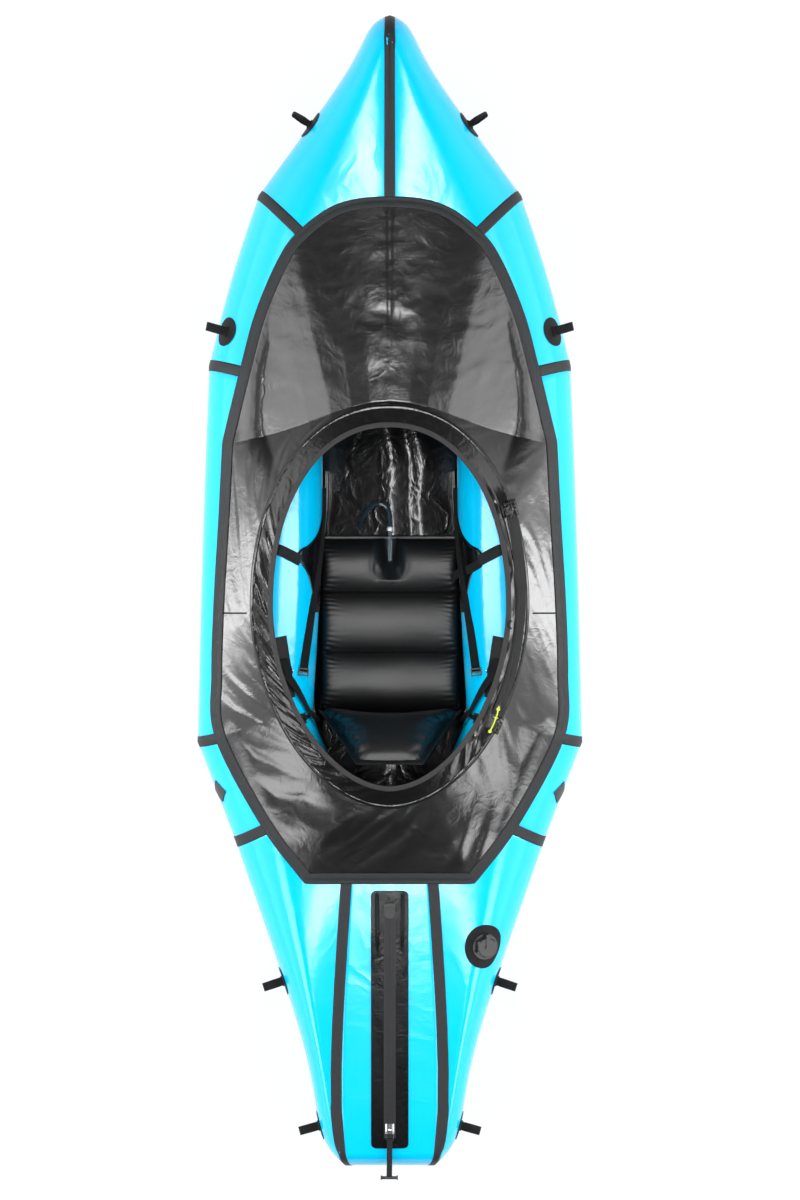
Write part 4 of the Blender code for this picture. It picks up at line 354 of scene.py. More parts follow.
# Pieces ride on a body, take a look's material and may stand for CAD nodes
def addPiece(name, mesh, look, body="hull", slot="deck", stands=()):
    item = bpy.data.objects.new(name, mesh)
    scene.collection.objects.link(item)
    mesh.materials.append(materials[look])
    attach(item, body)
    if stands:
        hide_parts(*stands)
    return item


def meshFrom(bm, name, outward=None, smooth=True):
    bmesh.ops.remove_doubles(bm, verts=bm.verts, dist=0.00002)
    bmesh.ops.recalc_face_normals(bm, faces=bm.faces)
    if outward:
        facing = sum(f.normal.dot(outward(f.calc_center_median())) * f.calc_area() for f in bm.faces)
    else:
        facing = bm.calc_volume(signed=True)
    if facing < 0:
        bmesh.ops.reverse_faces(bm, faces=bm.faces)
    mesh = bpy.data.meshes.new(name)
    bm.to_mesh(mesh)
    bm.free()
    if smooth:
        mesh.shade_smooth()
        mesh.set_sharp_from_angle(angle=math.radians(50))
    return mesh


def shapedGrid(columns, rows, placeAt, size):
    bm = bmesh.new()
    layer = bm.loops.layers.uv.new("cloth")
    bmesh.ops.create_grid(bm, x_segments=columns, y_segments=rows, size=0.5, calc_uvs=True)
    for face in bm.faces:
        for loop in face.loops:
            loop[layer].uv = (loop[layer].uv.x * size[0], loop[layer].uv.y * size[1])
    for vert in bm.verts:
        vert.co = placeAt(span(vert.co.x + 0.5), span(vert.co.y + 0.5))
    return bm


# A cloth piece is a grid that placeAt reshapes, with a thickness
def clothPiece(name, columns, rows, placeAt, size, look, thickness, offset=-1.0, **more):
    mesh = meshFrom(shapedGrid(columns, rows, placeAt, size), name, more.pop("outward", upward))
    item = addPiece(name, mesh, look, **more)
    solid = item.modifiers.new("thickness", "SOLIDIFY")
    solid.thickness, solid.offset = thickness, offset
    return item


def bevelEdges(item, width, segments):
    edges = item.modifiers.new("edges", "BEVEL")
    edges.width, edges.segments = width, segments
    return item


def solidFrom(bm, name, look, body, slot, bevel=0.0, smooth=True):
    item = addPiece(name, meshFrom(bm, name, None, smooth), look, body, slot)
    return bevelEdges(item, bevel, 3) if bevel else item


def addBox(bm, size, matrix):
    bmesh.ops.create_cube(bm, size=1.0, matrix=matrix @ Matrix.Diagonal((*size, 1.0)))


def addRod(bm, radius, depth, matrix, segments=24):
    bmesh.ops.create_cone(
        bm, cap_ends=True, segments=segments, radius1=radius, radius2=radius, depth=depth, matrix=matrix
    )


def shifted(matrix, x, y, z):
    return matrix @ Matrix.Translation((x, y, z))


def treeOf(items):
    points, faces = [], []
    for item in items:
        start = len(points)
        points += [v.co.copy() for v in item.data.vertices]
        faces += [tuple(i + start for i in p.vertices) for p in item.data.polygons]
    return BVHTree.FromPolygons(points, faces)


def heightAt(tree, x, y, fallback=0.0):
    beside = 0.00005 if abs(x) < 0.00005 else x
    hit = tree.ray_cast(Vector((beside, y, 1.0)), -up)[0]
    return hit.z if hit else fallback


# The coaming lies in its own tilted plane
ring = {
    "width": 0.562, "length": 0.864, "centreY": -0.038, "height": 0.372, "rise": 0.036,
    "band": 0.055, "cloth": 0.001, "hoop": 0.012, "powers": (2.15, 1.85), "nudge": 2.0,
}
ringMatrix = Matrix.Translation((0.0, ring["centreY"], ring["height"])) @ Matrix.Rotation(
    math.atan(ring["rise"] / ring["length"]), 4, "X"
)
ringUp = ringMatrix.to_3x3() @ up


def ringEdge(angle):
    power = ring["powers"][0 if math.cos(angle) > 0 else 1]
    x, y = math.sin(angle), math.cos(angle)
    wide, long = ring["width"] / 2, ring["length"] / 2
    return Vector(
        (math.copysign(abs(x) ** (2 / power), x) * wide, math.copysign(abs(y) ** (2 / power), y) * long)
    )


def ringPoint(angle, offset=0.0):
    nudge = math.radians(ring["nudge"])
    run = ringEdge(angle + nudge) - ringEdge(angle - nudge)
    return ringEdge(angle) + Vector((-run.y, run.x)).normalized() * offset


# The zip on the right of the coaming, its slider and the free cord on it
coamingZip = {
    "radius": 0.815, "middle": 0.0285, "centreY": 0.035, "rear": 0.3,
    "tape": 0.0008, "coil": 0.0016, "air": 0.0006,
    "slider": (0.011, 0.017, 0.0045), "cord": (0.0032, 0.066),
    "knots": (
        ("zip_cord_knot_near", 0.1, (0.0085, 0.0088, 0.0055)),
        ("zip_cord_knot_far", 0.97, (0.0085, 0.0082, 0.0037)),
        ("zip_cord_wrap", 0.42, (0.0022, 0.0115, 0.0034)),
    ),
    "tapes": (-0.009, 0.0175), "ends": (-0.3, 0.19), "coilHalf": 0.0036,
    "crumples": (
        ("zip_garage", 0.203, 0.04, 0.036, 0.0142, True),
        ("zip_end_cloth", -0.322, 0.042, 0.038, 0.006, False),
    ),
    "hollow": (0.0075, 0.0065),
    "tab": {"turn": 96.5, "reach": 0.0135, "radius": 0.009, "wire": 0.0016, "height": 0.0042},
}
zipCentreX = ring["width"] / 2 + coamingZip["middle"] - coamingZip["radius"]
zipTop = ring["cloth"] + coamingZip["air"] + coamingZip["tape"] + coamingZip["coil"]
sliderTurn = -(coamingZip["rear"] - coamingZip["slider"][1]) / coamingZip["radius"]
sliderMatrix = (
    ringMatrix
    @ Matrix.Translation((zipCentreX, coamingZip["centreY"], 0.0))
    @ Matrix.Rotation(sliderTurn, 4, "Z")
    @ Matrix.Translation((coamingZip["radius"], 0.0, 0.0))
)


def tubeMesh(name, points, radius):
    spine = bpy.data.curves.new(name, "CURVE")
    spine.dimensions = "3D"
    spline = spine.splines.new("POLY")
    spline.points.add(len(points) - 1)
    for knot, p in zip(spline.points, points):
        knot.co = (*p, 1.0)
    spine.bevel_depth, spine.bevel_resolution, spine.use_fill_caps = radius, 3, True
    holder = bpy.data.objects.new(name, spine)
    scene.collection.objects.link(holder)
    bpy.context.view_layer.update()
    mesh = bpy.data.meshes.new_from_object(holder.evaluated_get(bpy.context.evaluated_depsgraph_get()))
    bpy.data.objects.remove(holder, do_unlink=True)
    mesh.shade_smooth()
    return mesh


def zipCordRoute():
    slider, diameter, length = coamingZip["slider"], *coamingZip["cord"]
    low = zipTop + coamingZip["air"] + diameter / 2
    fallStart = -slider[1] / 2 - diameter
    points = []
    for i in range(33):
        along = slider[1] / 4 - length * i / 32
        drop = slider[2] * (1 - math.cos(math.pi * span((fallStart - along) / (diameter * 5)))) / 2
        sway = diameter * math.sin(math.pi * i / 32)
        points.append(sliderMatrix @ Vector((sway, along, low + slider[2] - drop)))
    return points


def knotOn(name, route, share, size):
    bm = bmesh.new()
    index = min(int(share * (len(route) - 1)), len(route) - 2)
    matrix = axesMatrix(lineAt(route, share), route[index + 1] - route[index], ringUp)
    bmesh.ops.create_uvsphere(
        bm, u_segments=24, v_segments=16, radius=0.5, matrix=matrix @ Matrix.Diagonal((*size, 1.0))
    )
    for vert in bm.verts:
        vert.co += (vert.co - matrix.translation) * 0.12 * math.sin(vert.co.x * 2600 + vert.co.y * 2900)
    return addPiece(name, meshFrom(bm, name), "neonCord", "coaming_slider", "cord")


cordRoute = zipCordRoute()
cordDiameter = coamingZip["cord"][0]
cordKnots = [knotOn(name, cordRoute, share, size) for name, share, size in coamingZip["knots"]]
cordMesh = tubeMesh("zip_pull_cord", cordRoute, cordDiameter / 2)
zipCord = addPiece("zip_pull_cord", cordMesh, "neonCord", "coaming_slider", "cord", ("coaming_zip_cord",))
lengthOf(cordRoute)
print("cord laid")


# Hull: panels lofted between upright seams
hull = {
    "length": 2.83,
    "width": 0.95,
    "tube": 0.285,
    "base": 0.0018,
    "cloth": 0.0012,
    "pucker": 0.0004,
    "bow": {"run": 0.606, "end": (0.07, 0.095, 0.185), "nose": 0.021, "crown": 0.0075},
    "stern": {"run": 0.913, "end": (0.045, 0.095, 0.15), "hip": 0.034, "crown": 0.008, "bend": 0.032},
    "bulge": {"fore": 0.007, "side": 0.003, "inner": 0.009},
    "seams": {
        "front": (0.6826, 0.6918, -45.0, 1.14),
        "fore": (0.9406, 0.3945, -15.5, 1.02),
        "aft": (1.0, -0.2624, 12.8, 1.02),
        "rear": (0.8025, -0.4364, 26.6, 1.03),
    },
    "sternEnd": (0.2136, -1.0, 0.193),
}
halfWidth, halfLength, tubeRadius = hull["width"] / 2, hull["length"] / 2, hull["tube"] / 2
arcSteps, flatSteps = 33, 7
loopCount = 2 * (arcSteps + flatSteps)
midArc = arcSteps // 2
tubeTurn = 82.5


def arcSpot(reach, half, centre, angle):
    return Vector((reach * (1 - math.cos(angle)), centre + half * math.sin(angle)))


def seamLoop(outer, inner, outerEnd, innerEnd, bend=0.0, side=1):
    length = (inner - outer).length
    tube = outerEnd == innerEnd
    limit = math.radians(tubeTurn if tube else 90)
    gap = math.pi - 2 * limit

    def near(angle):
        return arcSpot(*outerEnd, angle)

    def far(angle):
        return Vector((length, 0.0)) - Vector((1, -1)) * arcSpot(*innerEnd, angle)

    turns = [limit * (2 * i / arcSteps - 1) for i in range(arcSteps + 1)]
    shares = [i / flatSteps for i in range(1, flatSteps)]
    spots = [near(turn) for turn in turns]
    for share in shares:
        spots.append(near(limit + gap * share) if tube else spots[arcSteps].lerp(far(limit), share))
    spots += [far(-turn) for turn in turns]
    for share in shares:
        spots.append(near(limit - math.pi + gap * share) if tube else far(-limit).lerp(spots[0], share))
    points = []
    for along, height in spots:
        base = outer.lerp(inner, along / length)
        sideways = side * bend * math.sin(math.pi * math.sqrt(span(along / length)))
        points.append(Vector((base.x + sideways, base.y, height)))
    return points


def seamsOf(side):
    middle = hull["base"] + tubeRadius
    root = (tubeRadius, tubeRadius, middle)
    reach, half, centre = hull["bow"]["end"]
    outer, inner = Vector((0.0, halfLength)), Vector((0.0, halfLength - hull["bow"]["run"]))
    found = {"bow": seamLoop(outer, inner, (reach, half, hull["base"] + centre), root)}
    for name, (wide, long, turn, stretch) in hull["seams"].items():
        angle, length = math.radians(turn), hull["tube"] * stretch
        outer = Vector((side * wide * halfWidth, long * halfLength))
        inner = outer + Vector((-side * math.cos(angle), math.sin(angle))) * length
        end = (length / 2, tubeRadius, middle)
        found[name] = seamLoop(outer, inner, end, end)
    wide, long, rootWide = hull["sternEnd"]
    reach, half, centre = hull["stern"]["end"]
    outer = Vector((side * wide * halfWidth, long * halfLength))
    inner = Vector((side * rootWide * halfWidth, outer.y + hull["stern"]["run"]))
    end = (reach, half, hull["base"] + centre)
    found["stern"] = seamLoop(outer, inner, end, root, hull["stern"]["bend"], side)
    return found


# How far a spot of the loop swells sideways and up: most on the outer arc, less over the top
def swellOf(spot):
    if spot <= arcSteps:
        angle = math.pi * (spot / arcSteps - 0.5)
        return math.cos(angle), max(math.sin(angle), 0.0)
    if spot < arcSteps + flatSteps:
        return 0.0, 1.0 - 0.7 * (spot - arcSteps) / flatSteps
    if spot <= 2 * arcSteps + flatSteps:
        turn = 0.5 - (spot - arcSteps - flatSteps) / arcSteps
        return 0.0, 0.3 * max(math.sin(math.pi * turn), 0.0)
    return 0.0, 0.0


def hullPanel(name, first, second, rows, sideBulge, crown, inward=0.0):
    run = second[midArc] - first[midArc]
    outward = Vector((run.y, -run.x, 0.0)).normalized()
    if outward.dot(first[midArc] - first[loopCount // 2 + midArc]) < 0:
        outward = -outward

    def placeAt(u, v):
        index = round(u * loopCount) % loopCount
        sideways, lift = swellOf(index)
        point = first[index].lerp(second[index], v)
        pucker = hull["pucker"] * noise.noise(point * 30) * max(1 - min(v, 1 - v) * 8, 0.0)
        turn = (index - arcSteps - flatSteps) / arcSteps
        pressed = inward * math.sin(math.pi * turn) * math.sin(math.pi * v) if 0 < turn < 1 else 0.0
        return point + outward * (sideways * sideBulge(v) + pucker - pressed) + up * (lift * crown(v))

    centres = [sum(loop, Vector()) / loopCount for loop in (first, second)]
    axis = (centres[1] - centres[0]).normalized()
    return clothPiece(
        name + "_cloth", loopCount, rows, placeAt, (0.9, run.length), "hullCloth", hull["cloth"],
        outward=lambda p: p - centres[0] - axis * (p - centres[0]).dot(axis), slot="hull", stands=(name,),
    )


def evenBulge(amount):
    return lambda v: amount * math.sin(math.pi * v)


def buildHull():
    flat = evenBulge(0.0)
    nose, hip, crown = hull["bow"]["nose"], hull["stern"]["hip"], hull["bow"]["crown"]
    plans = (
        ("bow", "bow", "front", 36, lambda v: nose * math.sin(math.pi * (1 - v) ** 7),
         lambda v: crown * math.sin(math.pi * v**0.45), 0.0),
        ("fore", "front", "fore", 28, evenBulge(hull["bulge"]["fore"]), flat, 0.0),
        ("side", "fore", "aft", 30, evenBulge(hull["bulge"]["side"]), flat, hull["bulge"]["inner"]),
        ("aft", "aft", "rear", 12, flat, flat, 0.0),
        ("stern_side", "rear", "stern", 36, lambda v: hip * math.sin(math.pi * v**6),
         evenBulge(hull["stern"]["crown"]), 0.0),
    )
    panels, seams = [], {side: seamsOf(side) for side, word in sides}
    for side, word in sides:
        for name, first, second, *rest in plans:
            panels.append(hullPanel(f"{name}_panel_{word}", seams[side][first], seams[side][second], *rest))
    panels.append(hullPanel("stern_centre_panel", seams[-1]["stern"], seams[1]["stern"], 12, flat, flat))
    return seams, panels


seams, hullPanels = buildHull()
hullTree = treeOf(hullPanels)
print("hull built")


# Tapes and flat patches lie on the hull
tape = {
    "width": 0.027, "thickness": 0.0005, "lift": 0.00025, "step": 0.012, "bowEnd": 0.95,
    "deckLifts": (0.0024, 0.0007), "deckShare": 0.55, "deckCount": 420,
}


def onHull(point, lift, tree=None):
    spot, normal = (tree or hullTree).find_nearest(point)[:2]
    return spot + normal * lift


def hullTape(name, path, across, stands=()):
    count = max(int(lengthOf(path) / tape["step"]), 8)
    line = evenly(path, count)

    def placeAt(u, v):
        return onHull(lineAt(line, v) + across * ((u - 0.5) * tape["width"]), tape["lift"])

    return clothPiece(
        name, 6, count, placeAt, (tape["width"], lengthOf(line)), "seamTape", tape["thickness"], 1.0,
        outward=lambda p: hullTree.find_nearest(p)[1], slot="tape", stands=stands,
    )


def buildTapes():
    top = arcSteps + flatSteps + 1
    for side, word in sides:
        for seam, (wide, long, turn, stretch) in hull["seams"].items():
            angle = math.radians(turn)
            across = Vector((-side * math.sin(angle), -math.cos(angle), 0.0))
            hullTape(f"{seam}_seam_tape_{word}", seams[side][seam][: midArc + 36], across)
        name = f"stern_seam_tape_{word}"
        hullTape(name + "_strip", seams[side]["stern"][4:top], abeam, (name,))
    path = [p for p in seams[1]["bow"][6:top] if p.y > tape["bowEnd"]]
    hullTape("bow_seam_tape_strip", path, abeam, ("bow_seam_tape",))


buildTapes()
print("tapes laid")


# Deck: the fore deck reaches back to an arched seam, the rear deck runs up to the coaming
deck = {
    "cloth": 0.0008,
    "lift": 0.0009,
    "front": (
        (0.0, 0.668, 2), (0.256, 0.6559, 2), (0.453, 0.6094, 1), (0.556, 0.5596, 1),
        (0.664, 0.4737, 2), (0.735, 0.3859, 2), (0.832, 0.2569, 0),
    ),
    "rear": (
        (0.0, 0.324, 0.0, 1.0, 1), (0.1, 0.3205, 9.0, 0.99, 1), (0.188, 0.3135, 18.0, 0.95, 1),
        (0.297, 0.302, 27.0, 0.86, 1), (0.406, 0.2906, 36.0, 0.7, 1), (0.52, 0.279, 45.0, 0.5, 1),
        (0.628, 0.2698, 54.0, 0.3, 1), (0.74, 0.262, 63.0, 0.12, 1), (0.832, 0.2569, 72.0, 0.0, 1),
        (0.853, 0.12, 81.0, 0.0, 1), (0.877, -0.0149, 90.0, 0.0, 2), (0.889, -0.1438, 108.0, 0.0, 2),
        (0.871, -0.2487, 126.0, 0.0, 3), (0.6375, -0.3967, 153.0, 0.0, 1),
        (0.421, -0.4931, 162.0, 0.0, 2), (0.0, -0.4931, 180.0, 0.0, 0),
    ),
    "breaks": (0, 8, 14, 15),
    "seamRows": 8,
    "neck": (0.022, 0.03, 0.006),
    "dip": 0.006,
    "gap": 0.0006,
    "fine": 10,
    "overlap": (0.0, -0.005, 0.0016),
    "corner": (0.0, 0.012, 0.0),
    "rows": (36, 60),
    "foreColumns": 240,
    "folds": {"rear": (0.0042, 0.0019), "fore": (0.0016, 0.0007), "sag": 0.0012},
}


def deckSpot(wide, long):
    return Vector((wide * halfWidth, long * halfLength, 0.0))


def mirrored(point):
    return Vector((-point.x, point.y, point.z))


def frontEdge():
    knots = [deckSpot(w, l) for w, l, count in deck["front"]]
    counts = [row[2] * deck["fine"] for row in deck["front"][:-1]]
    return smoothPoints([mirrored(knots[1])] + knots, [1] + counts)[1:]


def rearStations():
    knots = [deckSpot(row[0], row[1]) for row in deck["rear"]]
    fine, outline, turns = deck["fine"], [], []
    for a, b in zip(deck["breaks"], deck["breaks"][1:]):
        counts = [row[4] * fine for row in deck["rear"][a:b]]
        outline += smoothPoints(knots[a : b + 1], counts)[:-1]
    for row, after in zip(deck["rear"], deck["rear"][1:]):
        for step in range(row[4] * fine):
            share = step / (row[4] * fine)
            turns.append((row[2] + (after[2] - row[2]) * share, row[3] + (after[3] - row[3]) * share))
    outline.append(knots[-1])
    turns.append(deck["rear"][-1][2:4])
    setback, depth, lap = deck["neck"]
    crown = (ringMatrix @ Vector((0.0, ring["length"] / 2, -depth))).z - deck["dip"]
    corner = knots[deck["breaks"][1]]
    sideHeight = heightAt(hullTree, corner.x, corner.y) + deck["lift"]
    stations = []
    for spot, (turn, rise) in zip(outline, turns):
        height = heightAt(hullTree, spot.x, spot.y) + deck["lift"]
        height = max(height, sideHeight + (crown - sideHeight) * rise)
        foot = ringPoint(math.radians(turn), setback + ring["cloth"] + deck["gap"])
        rim = ringMatrix @ Vector((foot.x, foot.y, lap - depth))
        stations.append((Vector((spot.x, spot.y, height)), rim, turn))
    return stations


def aboveHull(point, free, fold):
    point = point + up * (free * (fold - deck["folds"]["sag"]))
    low = heightAt(hullTree, point.x, point.y, -1.0) + deck["lift"]
    return Vector((point.x, point.y, max(point.z, low)))


def buildDeck():
    half = rearStations()
    loop = half + [(mirrored(edge), mirrored(rim), 360.0 - turn) for edge, rim, turn in half][-2:0:-1]
    count, columns = len(loop), deck["foreColumns"]
    deep, shallow = deck["folds"]["rear"]
    broad, fine = deck["folds"]["fore"]

    def rearAt(u, v):
        edge, rim, turn = loop[round(u * count) % count]
        point = edge.lerp(rim, v)
        spread = noise.noise(Vector((point.x * 5, point.y * 5, 3.0)))
        swirl = turn + 26 * v
        fold = ridge(swirl * 0.13, v * 1.3, 1.0) * deep + ridge(swirl * 0.42, v * 2.4, 5.0) * shallow
        return aboveHull(point, math.sin(math.pi * v) ** 0.7, fold * (0.55 + spread))

    rear = clothPiece("rear_deck_cloth", count, deck["rows"][0], rearAt, (4.0, 0.3), "deckCloth",
                      deck["cloth"], 1.0, stands=("rear_deck",))
    seamCount = deck["seamRows"] * deck["fine"]
    seam = evenly([loop[i][0] for i in range(-seamCount, seamCount + 1)], columns)
    front = frontEdge()
    edge = evenly([mirrored(p) for p in front[::-1]] + front[1:], columns)

    def foreAt(u, v):
        index = round(u * columns)
        outer = edge[index].copy()
        outer.z = heightAt(hullTree, outer.x, outer.y) + deck["lift"]
        inner = seam[index] + Vector(deck["overlap"])
        if index in (0, columns):
            outer = inner + Vector(deck["corner"])
        point = outer.lerp(inner, v)
        fold = broad * noise.noise(Vector((point.x * 9, point.y * 16, 2.0)))
        fold += fine * ridge(point.x * 14 + point.y * 8, point.y * 30 - point.x * 10, 7.0)
        return aboveHull(point, math.sin(math.pi * v) ** 0.7, fold)

    fore = clothPiece("fore_deck_cloth", columns, deck["rows"][1], foreAt, (0.8, 0.5), "deckCloth",
                      deck["cloth"], 1.0, stands=("fore_deck",))
    outline = front[:-1] + [Vector((e.x, e.y, 0.0)) for e, rim, turn in half[seamCount:]]
    return rear, fore, outline + [mirrored(p) for p in outline[-2:0:-1]]


rearDeck, foreDeck, deckOutline = buildDeck()
deckTree = treeOf(hullPanels + [rearDeck, foreDeck])
print("deck built")


def buildDeckTape():
    loop = evenly(deckOutline + deckOutline[:1], tape["deckCount"])[:-1]
    count, width = len(loop), tape["width"]
    normals = []
    for i, point in enumerate(loop):
        run = loop[(i + 2) % count] - loop[i - 2]
        normals.append(Vector((run.y, -run.x, 0.0)).normalized())
        if normals[-1].dot(point - Vector((0.0, ring["centreY"], 0.0))) < 0:
            normals[-1] = -normals[-1]

    def placeAt(u, v):
        index = round(v * count) % count
        point = loop[index] + normals[index] * ((u - 0.5) * width)
        step = tape["deckLifts"][0 if u < tape["deckShare"] else 1]
        return Vector((point.x, point.y, heightAt(deckTree, point.x, point.y) + step))

    clothPiece("deck_edge_strip", 8, count, placeAt, (width, 4.0), "seamTape", tape["thickness"], 1.0,
               slot="tape", stands=("deck_edge_tape",))


buildDeckTape()

# Coaming: the cloth sleeve over its hoop, the neck under it and the binding on its lip
band = {
    "rise": 0.0115, "reach": 0.045, "flat": (62, 128), "fade": 12, "fold": 0.006,
    "wallTop": -0.008, "cloth": 0.0009, "columns": 600,
    "roll": {
        "place": (93, 38, 6), "height": 0.0068, "start": 0.0085, "rise": 0.0115, "end": 0.0195,
        "fall": 0.003,
    },
    "creases": ((258, 44, 4, 1.0), (205, 26, 2, 0.3), (140, 16, 2, 0.3)),
    "lip": (
        (0.011, 0.0028), (-0.001, 0.0028), (-0.0018, 0.002), (-0.0018, -0.001),
        (-0.001, -0.0018), (0.011, -0.0018),
    ),
}


# The band stands up from its lip, but lies flat along the zip
def bandRise(turn, offset):
    degrees = math.degrees(turn) % 360
    low, high = band["flat"]
    away = max(low - degrees, degrees - high, 0.0)
    away = min(away, 360 - degrees + low) / band["fade"]
    return band["rise"] * eased(min(away, 1.0)) * max(1 - max(offset, 0.0) / band["reach"], 0.0)


def noFold(turn, offset):
    return 0.0


def ringSheet(name, profile, bumpAt, look, slot, stands, outward=upward):
    count = band["columns"]
    spots = evenly([Vector((a, b, 0.0)) for a, b in profile], len(profile) * 2)
    rows = len(spots) - 1

    def placeAt(u, v):
        turn = 2 * math.pi * (round(u * count) % count) / count
        spot = spots[round(v * rows)]
        flat = ringPoint(turn, spot.x)
        lift = bandRise(turn, spot.x) if spot.y > band["wallTop"] else 0.0
        return ringMatrix @ Vector((flat.x, flat.y, spot.y + lift + bumpAt(turn, spot.x)))

    clothPiece(name, count, rows, placeAt, (2.3, 0.08), look, band["cloth"], outward=outward, slot=slot,
               stands=(stands,))


def bandCrease(turn, offset):
    degrees = math.degrees(turn)
    share = sum(part * bell(degrees - place, wide, power) for place, wide, power, part in band["creases"])
    along = turn * 0.36
    cross = along - offset * 1.6
    fold = ridge(cross * 21, offset * 9 + along * 2, 2.0) + 0.3 * ridge(cross * 47, offset * 20, 9.0)
    across = math.sin(math.pi * span(offset / 0.05)) ** 0.6
    rolled = band["roll"]
    place, wide, power = rolled["place"]
    reach = span((offset - rolled["start"]) / rolled["rise"])
    reach -= max(offset - rolled["end"], 0.0) / rolled["fall"]
    roll = bell(degrees - place, wide, power) * rolled["height"] * max(reach, 0.0)
    roll *= 0.75 + 0.8 * noise.noise(Vector((turn * 9, offset * 40, 6.0)))
    return share * across * (fold - 0.7) * band["fold"] + max(roll, 0.0)


def buildCoaming():
    radius = ring["hoop"] / 2 + 0.0013
    centre = (ring["band"] - radius, ring["cloth"] - radius)
    profile = [(centre[0] * i / 16, ring["cloth"]) for i in range(17)]
    for i in range(1, 25):
        angle = math.radians(90 - 11 * i)
        profile.append((centre[0] + math.cos(angle) * radius, centre[1] + math.sin(angle) * radius))
    setback, depth, lap = deck["neck"]
    wall = [(setback + 0.001, -0.0004 - depth * i / 8) for i in range(9)]
    ringSheet("coaming_band", profile, bandCrease, "sleeveCloth", "deck", "coaming_sleeve")
    middle = awayFrom(ringMatrix.translation)
    ringSheet("coaming_skirt", wall, noFold, "deckCloth", "deck", "coaming_neck", middle)
    ringSheet("coaming_lip", band["lip"], noFold, "bindingCloth", "webbing", "coaming_binding")


buildCoaming()
print("coaming built")


# Places in the picture become places on the pieces
def atPixel(px, py, z):
    wide, high = view["picture"]
    reach = view["sensor"] / view["lens"] / high * (view["height"] - z)
    return Vector((view["x"] + (px - wide / 2) * reach, view["y"] - (py - high / 2) * reach, z))


def clearOf(tree, spot, lift):
    near, out = tree.find_nearest(spot)[:2]
    gap = (spot - near).dot(out)
    return spot + out * (lift - gap) if gap < lift and (spot - near).length < 0.05 else spot


# Picture points are given on the left, and side mirrors them
pixelShift = 0.9


def cockpitLine(rows, side, lift=0.0, tree=None):
    points = [atPixel(px + pixelShift, py, z) for px, py, z in rows]
    points = [Vector((p.x * -side, p.y, p.z)) for p in points]
    points = [clearOf(tree, p, lift) for p in points] if tree else points
    return smoothPoints(points, [6] * (len(points) - 1))


def strapOn(name, path, width, look="webbing", **more):
    tree, lift, front = more.get("tree"), more.get("lift", 0.0015), more.get("face", up)
    rows = max(int(lengthOf(path) / more.get("step", 0.004)), 3)
    line = evenly(path, rows)
    frames = []

    def wide(v):
        return width(v) if callable(width) else width

    for i, point in enumerate(line):
        run = (line[min(i + 1, rows)] - line[max(i - 1, 0)]).normalized()
        face = tree.find_nearest(point)[1] if tree else front
        face = Matrix.Rotation(more.get("twist", 0.0) * (i / rows), 3, run) @ face
        frames.append((point, run.cross(face).normalized(), face))

    def placeAt(u, v):
        point, across, face = frames[round(v * rows)]
        spot = point + across * ((u - 0.5) * wide(v))
        if more.get("wave"):
            spot += face * more["wave"](u, v)
        if not tree:
            return spot
        return clearOf(tree, spot, lift) if more.get("free") else onHull(spot, lift, tree)

    item = clothPiece(
        name, more.get("columns", 4), rows, placeAt, (wide(0.5), lengthOf(path)), look,
        more.get("thickness", 0.0014), 1.0, body=more.get("body", "hull"),
        outward=(lambda p: tree.find_nearest(p)[1]) if tree else (lambda p: front),
        slot=more.get("slot", "webbing"), stands=more.get("stands", ()),
    )
    return bevelEdges(item, 0.0004, 1)


# The floor sheet, slack between the tubes
floor = {
    "cloth": 0.0015, "lap": 0.02, "slack": 0.016, "outline": ("front", "fore", "aft", "rear"),
    "reach": 0.17, "trough": 0.02, "edge": 0.172,
    "peaks": ((0.004, 1.0, 0.175, 0.004, 1.0), (-0.068, 1.4, 0.14, 0.006, 0.9)),
}


def soft(distance, spread, tip):
    return max(1 - (math.sqrt(distance**2 + tip**2) - tip) / spread, 0.0)


def floorKnots():
    knots = [Vector((0.0, halfLength - hull["bow"]["run"] + tubeRadius))]
    for seam in floor["outline"]:
        loop = seams[1][seam]
        outer, inner = loop[midArc], loop[midArc + loopCount // 2]
        knots.append(Vector(((outer.x + inner.x) / 2 + floor["lap"], (outer.y + inner.y) / 2)))
    end = -halfLength + hull["stern"]["run"] - tubeRadius
    return knots + [Vector((hull["sternEnd"][2] * halfWidth + floor["lap"], end))]


def buildFloor():
    knots = floorKnots()

    def halfAt(y):
        for a, b in zip(knots, knots[1:]):
            if a.y >= y >= b.y:
                return a.x + (b.x - a.x) * (a.y - y) / (a.y - b.y)
        return knots[-1].x

    def placeAt(u, v):
        y = knots[0].y + (knots[-1].y - knots[0].y) * v
        half = max(halfAt(y), 0.004)
        x = (2 * u - 1) * half
        reach = min(abs(x) / floor["reach"], 1.0)
        bend = 0.012 * math.sin(y * 9) + 0.006 * math.sin(y * 23)
        peak = 0.0
        for shift, sway, spread, tip, share in floor["peaks"]:
            peak = max(peak, soft(x + shift - bend * sway, spread, tip) * share)
        front = span((y - 0.06) / 0.08)
        wander = 0.0012 * noise.noise(Vector((x * 14, y * 5, 4.0))) * (1 - reach)
        trough = floor["trough"] * reach**1.2 * span((-0.2 - y) / 0.1) * span((half - abs(x)) / 0.08)
        lift = front * floor["slack"] * peak + trough + wander + 0.0012 * (1 - reach)
        lift += 0.5 * span(abs(x) - floor["edge"], 0.0, 0.02) * (1 - front)
        return Vector((x, y, floor["cloth"] + max(lift, 0.0)))

    return clothPiece("floor_cloth", 120, 300, placeAt, (0.6, 2.0), "floorCloth", floor["cloth"],
                      stands=("floor_sheet",))


floorCloth = buildFloor()


